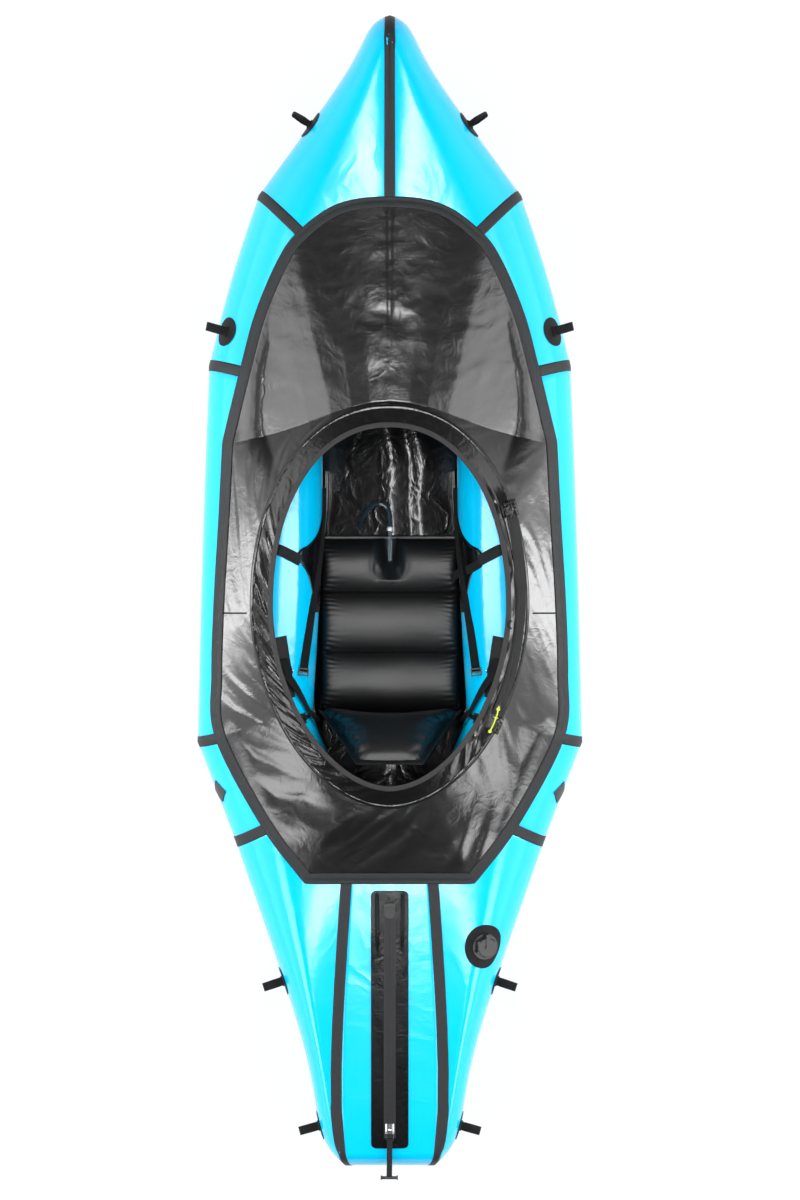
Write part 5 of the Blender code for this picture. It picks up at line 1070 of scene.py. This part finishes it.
# Black cloth gussets join the floor to the tubes at the seat's front corners
gusset = {
    "cloth": 0.0006, "lift": 0.0012, "pull": 0.0025, "rows": 90,
    "webbing": (0.009, 0.012), "wave": 0.0012,
    "bars": (0.0035, 0.024, (-0.008, 0.0, 0.008)), "ends": (0.0195, 0.0035, (-0.0115, 0.0115)),
    "outer": (
        (324, 470, 0.1), (323.5, 496, 0.12), (321, 512, 0.15), (314, 532, 0.19),
        (304, 544, 0.22), (295, 549, 0.235), (291, 556, 0.24), (295, 563, 0.235),
        (303, 576, 0.22), (307, 598, 0.2), (308, 612, 0.19),
    ),
    "inner": (
        (327, 470, 0.01), (327, 496, 0.01), (326, 510, 0.01), (325, 524, 0.012),
        (324, 538, 0.014), (323, 548, 0.016), (322, 556, 0.018), (321, 564, 0.02),
        (321, 578, 0.026), (319, 596, 0.06), (312, 612, 0.14),
    ),
    "edge": ((324, 488, 0.13), (321, 520, 0.15), (316, 556, 0.18), (310.5, 598, 0.208), (302.5, 672, 0.24)),
}


def buildGussets():
    for side, word in sides:
        outer = evenly(cockpitLine(gusset["outer"], side, 0.001, hullTree), gusset["rows"])
        inner = evenly(cockpitLine(gusset["inner"], side), gusset["rows"])

        def placeAt(u, v):
            point = lineAt(outer, v).lerp(lineAt(inner, v), u)
            pull = gusset["pull"] * ridge(v * 13, u * 1.5, 3.0 + side) * math.sin(math.pi * u)
            return clearOf(hullTree, point + up * pull, gusset["lift"])

        item = clothPiece(f"floor_gusset_{word}", 16, gusset["rows"], placeAt, (0.12, 0.6), "floorCloth",
                          gusset["cloth"], 1.0)
        line = cockpitLine(gusset["edge"], side, 0.003, hullTree)
        narrow, spread = gusset["webbing"]
        strapOn(
            f"gusset_webbing_{word}", line, lambda v: narrow + spread * min(v * 1.8, 1.0),
            face=Vector((-side * 0.35, 0.0, 1.0)).normalized(), step=0.006,
            wave=lambda u, v: gusset["wave"] * math.sin(v * 21) * (u - 0.5),
        )
        bm = bmesh.new()
        end = axesMatrix(line[-1] + up * 0.003, line[-1] - line[-4], up)
        thick, long, places = gusset["bars"]
        for x in places:
            addBox(bm, (thick, long, thick), shifted(end, x, 0.0, 0.0))
        wide, thick, places = gusset["ends"]
        for y in places:
            addBox(bm, (wide, thick, thick), shifted(end, 0.0, y, 0.0))
        solidFrom(bm, f"gusset_lock_{word}", "blackPlastic", "hull", "plastic", 0.0006)


buildGussets()
print("floor laid")


# Straps on the cockpit walls, where the solids are
wall = {
    "axis": halfWidth - tubeRadius,
    "patch": {"y": -0.187, "run": 0.15, "width": 0.052,
              "shares": ((0.45, 0.5), (0.53, 0.17), (0.62, -0.17), (0.7, -0.5))},
    "front": {"y": 0.105, "run": -0.05, "width": 0.027,
              "shares": ((0.22, -0.02), (0.3, 0.0), (0.5, 0.1), (0.7, 0.3), (0.9, 0.5), (1.0, 0.6))},
    "back": {"start": (0.2441, -0.1975), "end": (0.176, -0.39, 0.118),
             "shares": ((0.0, 42), (0.2, 46), (0.45, 55), (0.72, 70), (1.0, 84))},
    "wrap": ((-0.022, 0.001), (-0.016, 0.0035), (-0.006, 0.005), (0.004, 0.0052), (0.012, 0.0045),
             (0.016, 0.002)),
    "hinge": ((289, 716, 0.2), (298, 718, 0.17), (308, 720, 0.15), (317, 722, 0.115)),
    "tail": ((486, 563, 0.236), (476, 569, 0.215), (464, 573, 0.16), (452, 579, 0.14)),
    "lockTurn": 24,
}


def wallSpot(point, side, tilt, lift):
    angle = math.radians(tilt)
    way = Vector((side * math.sin(angle), 0.0, -math.cos(angle)))
    place = Vector((side * abs(point.x), point.y, point.z))
    spot, normal = hullTree.ray_cast(place - way * 0.3, way)[:2]
    return spot + normal * lift


def wallLine(key, side):
    rows, points = wall[key], []
    for share, along in rows["shares"]:
        place = Vector((wall["axis"] - tubeRadius * share, rows["y"] + rows["run"] * along, hull["tube"]))
        points.append(wallSpot(place, side, 40, 0.0012))
    return smoothPoints(points, [8] * (len(points) - 1))


def buildBackStrap(side, word):
    start, corner = Vector((*wall["back"]["start"], hull["tube"])), Vector(wall["back"]["end"])
    points = []
    for share, tilt in wall["back"]["shares"]:
        points.append(wallSpot(start.lerp(corner, share), side, tilt, 0.0045 + 0.004 * (1 - share)))
    strapOn(
        f"back_webbing_{word}", smoothPoints(points, [10] * (len(points) - 1)),
        lambda v: 0.021 - 0.009 * v, thickness=0.0015, columns=6, stands=(f"back_strap_{word}",),
        tree=hullTree, free=True, lift=0.0035, twist=side * 0.5,
    )
    low, high = (Vector(p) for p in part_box(f"strap_buckle_{word}"))
    centre = (low + high) / 2
    normal = hullTree.find_nearest(centre)[1]
    angle = math.radians(wall["lockTurn"])
    along = Vector((-side * math.sin(angle), -math.cos(angle), 0.0))
    lock = axesMatrix(centre + normal * 0.0035, along, normal)
    bm = bmesh.new()
    bar = shifted(lock, 0.012, 0.0, 0.001) @ Matrix.Rotation(math.radians(90), 4, "X")
    addRod(bm, 0.0024, 0.03, bar, 20)
    solidFrom(bm, f"lock_bar_{word}", "chrome", "hull", "metal")
    wrap = smoothPoints([shifted(lock, x, 0.0, z).translation for x, z in wall["wrap"]], [5] * 5)
    strapOn(f"lock_webbing_{word}", wrap, 0.024, face=normal, thickness=0.0022, step=0.002)


def buildWallStraps():
    for side, word in sides:
        strapOn(
            f"buckle_base_{word}", wallLine("patch", side), wall["patch"]["width"], "patchCloth",
            tree=hullTree, lift=0.0009, thickness=0.0009, columns=10, stands=(f"buckle_patch_{word}",),
        )
        line, width = wallLine("front", side), wall["front"]["width"]
        strapOn(
            f"front_webbing_{word}", line, width, tree=hullTree, lift=0.0022, thickness=0.0016,
            columns=6, stands=(f"front_strap_{word}",),
        )
        strapOn(
            f"front_webbing_fold_{word}", line[-26:], width * 0.96, "webbingPale", tree=hullTree,
            lift=0.0042, thickness=0.0016, columns=6,
        )
        buildBackStrap(side, word)
        line = cockpitLine(wall["hinge"], side, 0.002, hullTree)
        strapOn(f"hinge_webbing_{word}", line, 0.018, thickness=0.0016)
    tail = [clearOf(hullTree, atPixel(*row), 0.003) for row in wall["tail"]]
    strapOn("front_webbing_tail", smoothPoints(tail, [8] * 3), 0.021, twist=0.5)


buildWallStraps()
print("straps laid")


# Seat and backrest: inflated cloth with welded rims
seat = {
    "frontY": 0.141, "length": 0.452, "height": 0.086, "width": 0.352, "flange": 0.009,
    "drawIn": 0.002, "seam": 0.003, "channels": (0.0, 0.31, 0.655, 1.0), "weld": 0.42,
    "gather": 0.032, "wrinkle": 0.0062, "ripple": 0.0009, "notch": 0.026, "droop": 0.004,
    "pleats": ((-0.034, -0.1, 0.006), (0.026, 0.12, 0.005)),
}
back = {
    "height": 0.318, "lean": 0.104, "wrap": 0.036, "width": 0.358, "top": 0.16, "thick": 0.068,
    "flange": 0.016, "gap": 0.0004, "drop": 0.004, "shoulder": 0.3, "strip": 0.034,
    "roll": (0.75, 0.2), "gather": 0.022, "wrinkle": 0.004, "flutter": 0.0014,
}


def channelSwell(v):
    for a, b in zip(seat["channels"], seat["channels"][1:]):
        if v <= b:
            local = abs((v - a) / (b - a) * 2 - 1)
            front, rear = a == 0 and v < (a + b) / 2, b == 1 and v > (a + b) / 2
            low = 0.0 if front or rear else seat["weld"]
            return low + (1 - low) * roundOff(local), local
    return 0.0, 1.0


def pillow(name, pointAt, columns, rows, body, stands):
    def placeAt(u, v):
        turn = round(u * 2 * columns)
        face = 1 if turn <= columns else -1
        across = turn / columns if face > 0 else 2 - turn / columns
        rim = turn in (0, columns, 2 * columns) or v < 0.0001 or v > 0.9999
        return pointAt(math.sin((across - 0.5) * math.pi), v, 0 if rim else face)

    mesh = meshFrom(shapedGrid(2 * columns, rows, placeAt, (0.7, 0.45)), name)
    return addPiece(name, mesh, "seatCloth", body, "deck", (stands,))


def seatAt(u, v, face):
    endMargin = seat["flange"] / seat["length"]
    along = span((v - endMargin) / (1 - 2 * endMargin))
    swell, local = channelSwell(along)
    y = seat["frontY"] - v * seat["length"]
    x = u * (seat["width"] / 2 - seat["drawIn"] * swell)
    middle = hull["base"] + seat["height"] * 2 / 5
    half = seat["seam"] / 2 * abs(face)
    swell *= roundOff(u, 24)
    if face < 0:
        return Vector((x, y, max(middle - half - seat["height"] * 3 / 5 * swell, hull["base"])))
    side = (1 - abs(u)) * seat["width"] / 2
    gather = bell(side, seat["gather"]) * (0.25 + 0.75 * local**2)
    fan = y / 0.0125 + 0.9 * noise.noise(Vector((x * 14, y * 14, 1.0 * face)))
    fan += (side * 26) * (local - 0.5)
    wrinkle = gather * (abs(math.sin(math.pi * fan)) ** 0.7 - 0.6) * seat["wrinkle"]
    wrinkle += seat["ripple"] * noise.noise(Vector((x * 12, y * 20, 3.0)))
    notch = min(bell(x, seat["notch"]) * max(1 - (along / 0.24) ** 2, 0.0) * 1.1, 0.97)
    rise = (seat["height"] * 3 / 5 - seat["seam"] / 2) * swell * (1 - notch)
    for centre, lean, depth in seat["pleats"]:
        rise -= bell(x - centre - lean * (y - 0.05), 0.0055) * bell(y - 0.052, 0.02) * depth
    rise += wrinkle * min(rise / 0.01, 1.0)
    droop = seat["droop"] * bell(x, 0.03) * bell(v, 0.05)
    return Vector((x, y, middle + half + rise * abs(face) - droop))


def backAt(u, v, face):
    shoulder, flange = back["shoulder"], back["flange"]
    top = max(v - shoulder, 0.0) / (1 - shoulder)
    half = (back["width"] + (back["top"] - back["width"]) * top) / 2
    strip = back["strip"] / back["height"]
    filled = span((v - strip) / (1 - strip - flange / back["height"]))
    wrap = math.sin(min(v / shoulder, 1.0) * math.pi / 2) ** 6 * (1 - top)
    lean = -back["lean"] * v**1.5 + back["wrap"] * u * u * wrap
    forward = Vector((0.0, back["height"], back["lean"] * 1.5 * v**0.5)).normalized()
    swell = roundOff(u / (1 - flange / half), 3.2) * roundOff(2 * filled - 1, 1.8)
    gather = bell((1 - abs(u)) * half - flange, back["gather"]) * min(swell * 3, 1.0)
    wrinkle = gather * (abs(math.sin(v * 31 + 0.7 * noise.noise(Vector((u * 4, v * 5, face))))) - 0.5)
    depth = seat["seam"] / 2 + (back["thick"] - seat["seam"]) / 2 * swell + wrinkle * back["wrinkle"]
    depth *= 1 + back["roll"][0 if face > 0 else 1] * eased(span((v - 0.25) / 0.4))
    hingeY = seat["frontY"] - seat["length"] - back["gap"] - seat["seam"] / 2
    low = hull["base"] + seat["height"] * 2 / 5 - back["drop"]
    flutter = back["flutter"] * noise.noise(Vector((u * 5, v * 6, 2.0))) * min(v * 5, 1.0)
    return Vector((u * half, hingeY + lean, low + v * back["height"])) + forward * (depth * face + flutter)


seatPillow = pillow("seat_pillow", seatAt, 90, 180, "hull", "seat_cushion")
backPillow = pillow("back_pillow", backAt, 70, 110, "backrest", "backrest")
print("seat filled")


# Tie-downs: a round patch and a folded webbing loop
ties = {
    "radius": 0.036, "thick": 0.0012, "width": 0.021, "length": 0.05, "gap": 0.009, "layer": 0.0016,
    "rows": (
        ("bow", 0.81, 0.68, -0.55, -0.9), ("mid", 0.449, 0.79, 0.03, 0.12),
        ("rear", -0.678, 0.6, 0.04, -0.3), ("stern", -0.93, 0.6, 0.0, -0.2),
    ),
}


def discOn(name, matrix, radius, lift, stands, thick, hole=0.0, rings=8):
    count = 48

    def placeAt(u, v):
        angle = 2 * math.pi * (round(u * count) % count) / count
        spoke = Vector((math.cos(angle), math.sin(angle), 0.0)) * (hole + (radius - hole) * v)
        return onHull(matrix @ spoke, lift)

    outward = (matrix.to_3x3() @ up).normalized()
    item = clothPiece(name, count, rings, placeAt, (radius * 6, radius), "patchCloth", thick, 1.0,
                      outward=lambda p: outward, slot="webbing", stands=(stands,))
    return bevelEdges(item, thick * 0.35, 2)


# The loop leaves its root, turns round at its end and comes back under itself
def loopLine(root, out, rise):
    gap, length = ties["gap"], ties["length"]
    line = [root + rise * gap * 0.25 - out * 0.001]
    for i in range(1, 8):
        line.append(root + out * (length * i / 8) + rise * (gap / 2 * min(i / 3, 1.0) * 0.8))
    for i in range(9):
        angle = math.radians(90 - 180 * i / 8)
        reach = length - gap / 2 + gap / 2 * math.cos(angle)
        line.append(root + out * reach + rise * (gap * 0.4 * math.sin(angle)))
    for i in range(7, 0, -1):
        line.append(root + out * (length * i / 8) - rise * (gap / 2 * min(i / 3, 1.0) * 0.8))
    line.append(root - rise * gap * 0.25 - out * 0.001)
    return line


def buildTie(side, name, longShare, heightShare, swing, twist):
    start = Vector((side * hull["width"], longShare * halfLength, hull["base"] + hull["tube"] * heightShare))
    hit, normal = hullTree.ray_cast(start, abeam * -side)[:2]
    matrix = axesMatrix(hit, ahead, normal)
    discOn(name + "_patch", matrix, ties["radius"], 0.0009, name, ties["thick"])
    along = matrix.to_3x3() @ abeam
    out = (Vector((normal.x, normal.y, 0.0)).normalized() + normal).normalized()
    spin = Matrix.Rotation(side * swing, 3, normal)
    out, along = spin @ out, spin @ along
    rise = along.cross(out).normalized() * (1 if along.cross(out).z > 0 else -1)
    root = hit + normal * 0.0022
    count, length = 60, ties["length"]
    path = evenly(loopLine(root, out, rise), count)

    def placeAt(u, v):
        point = path[round(v * count)]
        reach = (point - root).dot(out) / length
        turn = Matrix.Rotation(side * twist * reach * 0.5, 3, out)
        return root + turn @ (point - root) + turn @ (along * ((u - 0.5) * ties["width"]))

    clothPiece(name + "_loop", 6, count, placeAt, (ties["width"], 0.11), "webbing", ties["layer"], 0.0,
               outward=awayFrom(root + out * (length / 2)), slot="webbing")
    bm = bmesh.new()
    addBox(bm, (ties["width"] * 1.2, 0.011, 0.0045), axesMatrix(hit + normal * 0.003, along, normal))
    solidFrom(bm, name + "_root", "webbing", "hull", "webbing", 0.0008)


for place, *tieRow in ties["rows"]:
    for side, word in sides:
        buildTie(side, f"{place}_tie_down_{word}", *tieRow)
print("tie-downs sewn")


# The cargo zip on the stern's centre panel
cargo = {
    "width": 0.0913, "start": 0.083, "length": 0.633, "corner": 0.012, "thick": 0.0014,
    "zipStart": 0.15, "zipLength": 0.54, "teeth": 150, "tooth": (0.0042, 0.0024, 0.0022),
    "fold": (0.031, 0.0022, 0.0011), "lift": 0.0017, "ripple": 0.0004, "stagger": 0.0012,
    "teethLift": 0.0048, "end": (0.045, 0.055, 0.19),
}
sternReach, sternLow, sternTall = cargo["end"]
cargoTop = Vector((0.0, -halfLength + hull["stern"]["run"] - tubeRadius, hull["base"] + hull["tube"]))
cargoEnd = Vector((0.0, -halfLength + sternReach, hull["base"] + sternLow + sternTall))
cargoAft = (cargoEnd - cargoTop).normalized()
cargoMatrix = axesMatrix(cargoTop, abeam, abeam.cross(-cargoAft))


def buildCargoZip():
    width, length, corner = cargo["width"], cargo["length"], cargo["corner"]
    foldX, foldWide, foldTall = cargo["fold"]
    normal = cargoMatrix.to_3x3() @ up

    def placeAt(u, v):
        end = min(v, 1 - v) * length
        half = width / 2 - corner + corner * roundOff(max(1 - end / corner, 0.0))
        x, y = (2 * u - 1) * half, -cargo["start"] - length * v
        fold = foldTall * bell(abs(x) - foldX, foldWide) * bell(v - 0.1, 0.11, 4)
        fold += cargo["ripple"] * noise.noise(Vector((x * 40, y * 9, 5.0)))
        return cargoMatrix @ Vector((x, y, cargo["lift"] + fold * min(end / 0.01, 1.0)))

    clothPiece("cargo_cloth", 60, 240, placeAt, (width, length), "cargoCloth", cargo["thick"],
               outward=lambda p: normal, stands=("cargo_patch",))
    bm = bmesh.new()
    for i in range(cargo["teeth"]):
        y = -cargo["zipStart"] - cargo["zipLength"] * (i + 0.5) / cargo["teeth"]
        x = cargo["stagger"] * (1 if i % 2 else -1)
        addBox(bm, cargo["tooth"], shifted(cargoMatrix, x, y, cargo["teethLift"]))
    solidFrom(bm, "cargo_teeth", "teethPlastic", "hull", "plastic", 0.0003, False)


buildCargoZip()


# The zip on the coaming: two ribbed tapes and a coil
def buildCoamingZip():
    inner, outer = coamingZip["tapes"]
    rear, front = coamingZip["ends"]

    def zipSpot(along, across, height):
        angle, radius = along / coamingZip["radius"], coamingZip["radius"] + across
        y = coamingZip["centreY"] + radius * math.sin(angle)
        return ringMatrix @ Vector((zipCentreX + radius * math.cos(angle), y, ring["cloth"] + height))

    def tapeAt(u, v):
        across = inner + (outer - inner) * u
        coil = coamingZip["coil"] * roundOff(across / coamingZip["coilHalf"])
        lap = coamingZip["tape"] if abs(across) > coamingZip["coilHalf"] and 0.04 < u < 0.96 else 0.0
        return zipSpot(rear + (front - rear) * v, across, 0.0009 + coil + lap)

    clothPiece("coaming_zip_tapes", 36, 260, tapeAt, (outer - inner, front - rear), "zipTape", 0.0007,
               slot="tape", stands=("coaming_zip_tape",))
    # The garage is hollow and open at the back, so that the slider and its cord run in under it
    core, fade = coamingZip["hollow"]
    for name, centre, long, wide, tall, hollow in coamingZip["crumples"]:

        def crumpleAt(u, v):
            along, across = (2 * v - 1) * long / 2, (inner + outer) / 2 + (2 * u - 1) * wide / 2
            reach = roundOff(2 * u - 1, 4) * (1.0 if hollow and v < 0.5 else roundOff(2 * v - 1, 4))
            crease = ridge(along * 130, across * 160, 4.0 + centre)
            path = eased(span((core + fade - abs(across)) / fade))
            if hollow:
                fold = (0.42 + 0.45 * crease) * (1 - path) + (1.0 + 0.22 * crease) * path
            else:
                fold = max(0.62 + 0.55 * crease, 0.1) * (1 - 0.72 * path)
            return zipSpot(centre + along, across, 0.0006 + tall * reach * fold)

        clothPiece(name, 44, 48, crumpleAt, (wide, long), "floorCloth", 0.0006)
    tab = coamingZip["tab"]
    centre = ringPoint(math.radians(tab["turn"]), tab["reach"])
    points = []
    for i in range(13):
        angle = math.pi * (i / 12 - 0.5)
        spot = centre - Vector((math.cos(angle), math.sin(angle))) * tab["radius"]
        points.append(ringMatrix @ Vector((spot.x, spot.y, tab["height"])))
    addPiece("zip_keeper_tab", tubeMesh("zip_keeper_tab", points, tab["wire"]), "webbing", slot="webbing")


buildCoamingZip()
print("zips built")


# The pull on the cargo zip: a folded webbing strap with a moulded cross bar
pull = {
    "width": 0.0135, "thick": 0.0016, "wave": 0.0003, "near": 0.004,
    "layers": (("pull_webbing", 0.0002, ("cargo_zip_pull",)), ("pull_webbing_fold", -0.002, ())),
    "bar": ((0.0, 0.0038, 0.04), (-0.0195, 0.0056, 0.003), (0.0195, 0.0056, 0.003)),
}


def buildCargoPull():
    points = [v.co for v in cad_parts["cargo_zip_pull"].data.vertices]
    ends = []
    for pick in (max(p.y for p in points), min(p.y for p in points)):
        near = [p for p in points if abs(p.y - pick) < pull["near"]]
        ends.append(sum(near, Vector()) / len(near))
    start, end = ends
    run = (end - start).normalized()
    face = abeam.cross(-run).normalized()
    path = evenly(ends, 24)
    for name, lift, stands in pull["layers"]:
        strapOn(
            name, [p + face * lift for p in path], pull["width"], "webbingPale", face=face,
            thickness=pull["thick"], step=0.002, body="cargo_pull", stands=stands,
            wave=lambda u, v: pull["wave"] * math.sin(v * 40),
        )
    bm = bmesh.new()
    turned = axesMatrix(end + run * 0.001, abeam, face) @ Matrix.Rotation(math.radians(90), 4, "Y")
    for place, radius, depth in pull["bar"]:
        addRod(bm, radius, depth, shifted(turned, 0.0, 0.0, place))
    solidFrom(bm, "pull_bar", "blackPlastic", "cargo_pull", "plastic", 0.0006)


buildCargoPull()

# The short seams across the side decks
sideSeam = {"y": -0.053, "start": 0.345, "length": 0.058}
for side, word in sides:
    reaches = [(sideSeam["start"] + sideSeam["length"] * i / 8) * side for i in range(9)]
    seamLine = [Vector((x, sideSeam["y"], heightAt(deckTree, x, sideSeam["y"]))) for x in reaches]
    strapOn(f"side_deck_seam_{word}", seamLine, 0.004, "patchCloth", slot="deck", tree=deckTree,
            lift=0.0008, thickness=0.0004, columns=2)

# The badges stay blank
badge = {
    "along": 0.058, "across": 0.075, "rim": 0.09, "lift": 0.0007, "rimLift": 0.0006,
    "places": (("badge_left", 219.5, 791.0), ("badge_right", 560.0, 792.0)),
}


def buildBadge(name, px, py):
    eye = Vector((view["x"], view["y"], view["height"]))
    spot = hullTree.ray_cast(eye, atPixel(px, py, 0.0) - eye)[0]
    normal = hullTree.find_nearest(spot)[1]
    matrix = axesMatrix(spot, ahead, normal)

    def placeAt(u, v):
        wide, high = (u - v) * badge["across"] / 2, (u + v - 1) * badge["along"] / 2
        rim = badge["rimLift"] if min(u, 1 - u, v, 1 - v) < badge["rim"] else 0.0
        return onHull(matrix @ Vector((high, wide, 0.0)), badge["lift"] + rim)

    clothPiece(name, 20, 20, placeAt, (0.05, 0.05), "badgeRubber", 0.0008, 1.0,
               outward=lambda p: normal, slot="webbing")


for badgeRow in badge["places"]:
    buildBadge(*badgeRow)

# The valve's round base, and a chrome copy of its spring
valve = {"base": 0.054, "bore": 0.021, "axis": (0.327681, -0.10083, 0.939393), "travel": 0.006}


def buildValve():
    low, high = (Vector(p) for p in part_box("valve_patch"))
    spot, normal = hullTree.find_nearest((low + high) / 2)[:2]
    discOn("valve_base", axesMatrix(spot, ahead, normal), valve["base"], 0.0008, "valve_patch", 0.0012,
           valve["bore"], 14)
    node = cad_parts["valve_spring"]
    bm = bmesh.new()
    bm.from_mesh(node.data)
    item = addPiece("valve_coil", meshFrom(bm, "valve_coil"), "chrome", "hull", "metal", ("valve_spring",))
    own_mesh(item)


buildValve()
print("valve and badges set")


# A pale floor that keeps a faint shadow, and plain soft light
stage = {"size": 60.0, "drop": -0.0005, "glow": 0.8, "colour": (0.86, 0.86, 0.86, 1.0), "rough": 0.9}
lamps = (
    ("overhead", (0.0, 0.12, 7.9), (0.0, 0.12, 0.0), (0.5, 5.16), 245.0, "RECTANGLE"),
    ("soft_left", (-3.0, 0.0, 1.75), (0.0, 0.0, 0.15), (0.6, 3.4), 66.0, "RECTANGLE"),
    ("soft_right", (3.0, 0.0, 1.75), (0.0, 0.0, 0.15), (0.6, 3.4), 66.0, "RECTANGLE"),
    ("fore_left", (-2.5, 1.15, 3.4), (-0.1, 0.7, 0.3), (1.7, 2.3), 26.0, "ELLIPSE"),
    ("fore_right", (2.5, 1.15, 3.4), (0.1, 0.7, 0.3), (1.7, 2.3), 26.0, "ELLIPSE"),
    ("rear_left", (-2.2, -2.0, 3.0), (-0.2, -0.5, 0.3), (1.3, 1.7), 34.0, "ELLIPSE"),
    ("rear_right", (2.2, -2.0, 3.0), (0.2, -0.5, 0.3), (1.3, 1.7), 34.0, "ELLIPSE"),
)
world = {"plain": 0.05, "sides": 2.3, "power": 3.0}


def buildStage():
    bm = bmesh.new()
    bmesh.ops.create_grid(bm, x_segments=1, y_segments=1, size=stage["size"] / 2)
    bmesh.ops.translate(bm, verts=bm.verts, vec=(0.0, 0.0, stage["drop"]))
    mesh = bpy.data.meshes.new("studio_floor")
    bm.to_mesh(mesh)
    bm.free()
    item = bpy.data.objects.new("studio_floor", mesh)
    scene.collection.objects.link(item)
    material = bpy.data.materials.new("studioWhite")
    material.use_nodes = True
    tree = material.node_tree
    shader = tree.nodes["Principled BSDF"]
    shader.inputs["Base Color"].default_value = stage["colour"]
    shader.inputs["Roughness"].default_value = stage["rough"]
    rays = addNode(tree, "ShaderNodeLightPath").outputs
    seen = mathNode(tree, "ADD", rays["Is Camera Ray"], rays["Is Glossy Ray"], clamp=True)
    seen = mathNode(tree, "ADD", seen, rays["Is Transmission Ray"], clamp=True)
    mix = addNode(tree, "ShaderNodeMixShader")
    glow = addNode(tree, "ShaderNodeEmission").outputs[0]
    share = mathNode(tree, "MULTIPLY", seen, stage["glow"])
    for socket, source in zip(mix.inputs, (share, shader.outputs[0], glow)):
        feed(tree, socket, source)
    feed(tree, tree.nodes["Material Output"].inputs[0], mix.outputs[0])
    mesh.materials.append(material)


def addLamp(name, place, aim, size, power, shape):
    lamp = bpy.data.lights.new(name, "AREA")
    lamp.shape, lamp.energy = shape, power
    lamp.size, lamp.size_y = size
    item = bpy.data.objects.new(name, lamp)
    scene.collection.objects.link(item)
    item.location = place
    item.rotation_euler = (Vector(aim) - Vector(place)).to_track_quat("-Z", "Y").to_euler()


# The world is plain overhead and grows bright to both sides
def buildWorld():
    setting = bpy.data.worlds.new("studio")
    scene.world = setting
    setting.use_nodes = True
    tree = setting.node_tree
    split = addNode(tree, "ShaderNodeSeparateXYZ")
    feed(tree, split.inputs[0], addNode(tree, "ShaderNodeTexCoord").outputs["Generated"])
    rising = mathNode(tree, "POWER", mathNode(tree, "ABSOLUTE", split.outputs["X"]), world["power"])
    sky = tree.nodes["Background"].inputs
    feed(tree, sky["Strength"], mathNode(tree, "MULTIPLY_ADD", rising, world["sides"], world["plain"]))
    sky["Color"].default_value = (1.0, 1.0, 1.0, 1.0)


buildStage()
buildWorld()
for lampRow in lamps:
    addLamp(*lampRow)

# The solids that still show; the others stand behind their pieces
nodeLooks = {
    "cargo_zip_rails": "railPlastic",
    "cargo_zip_dock": "blackPlastic",
    "cargo_zip_slider": "chrome",
    "cargo_zip_bail": "chrome",
    "valve_body": "blackPlastic",
    "valve_plunger": "blackPlastic",
    "valve_cap": "blackPlastic",
    "valve_leash": "blackPlastic",
    "seat_valve_stem": "clearTube",
    "seat_valve_nut": "whitePlastic",
    "inflation_hose": "hoseTube",
    "coaming_hoop": "rodPlastic",
    "coaming_zip_slider": "blackPlastic",
}
for name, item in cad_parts.items():
    item.data.materials.clear()
    item.data.materials.append(materials[nodeLooks.get(name, "patchCloth")])
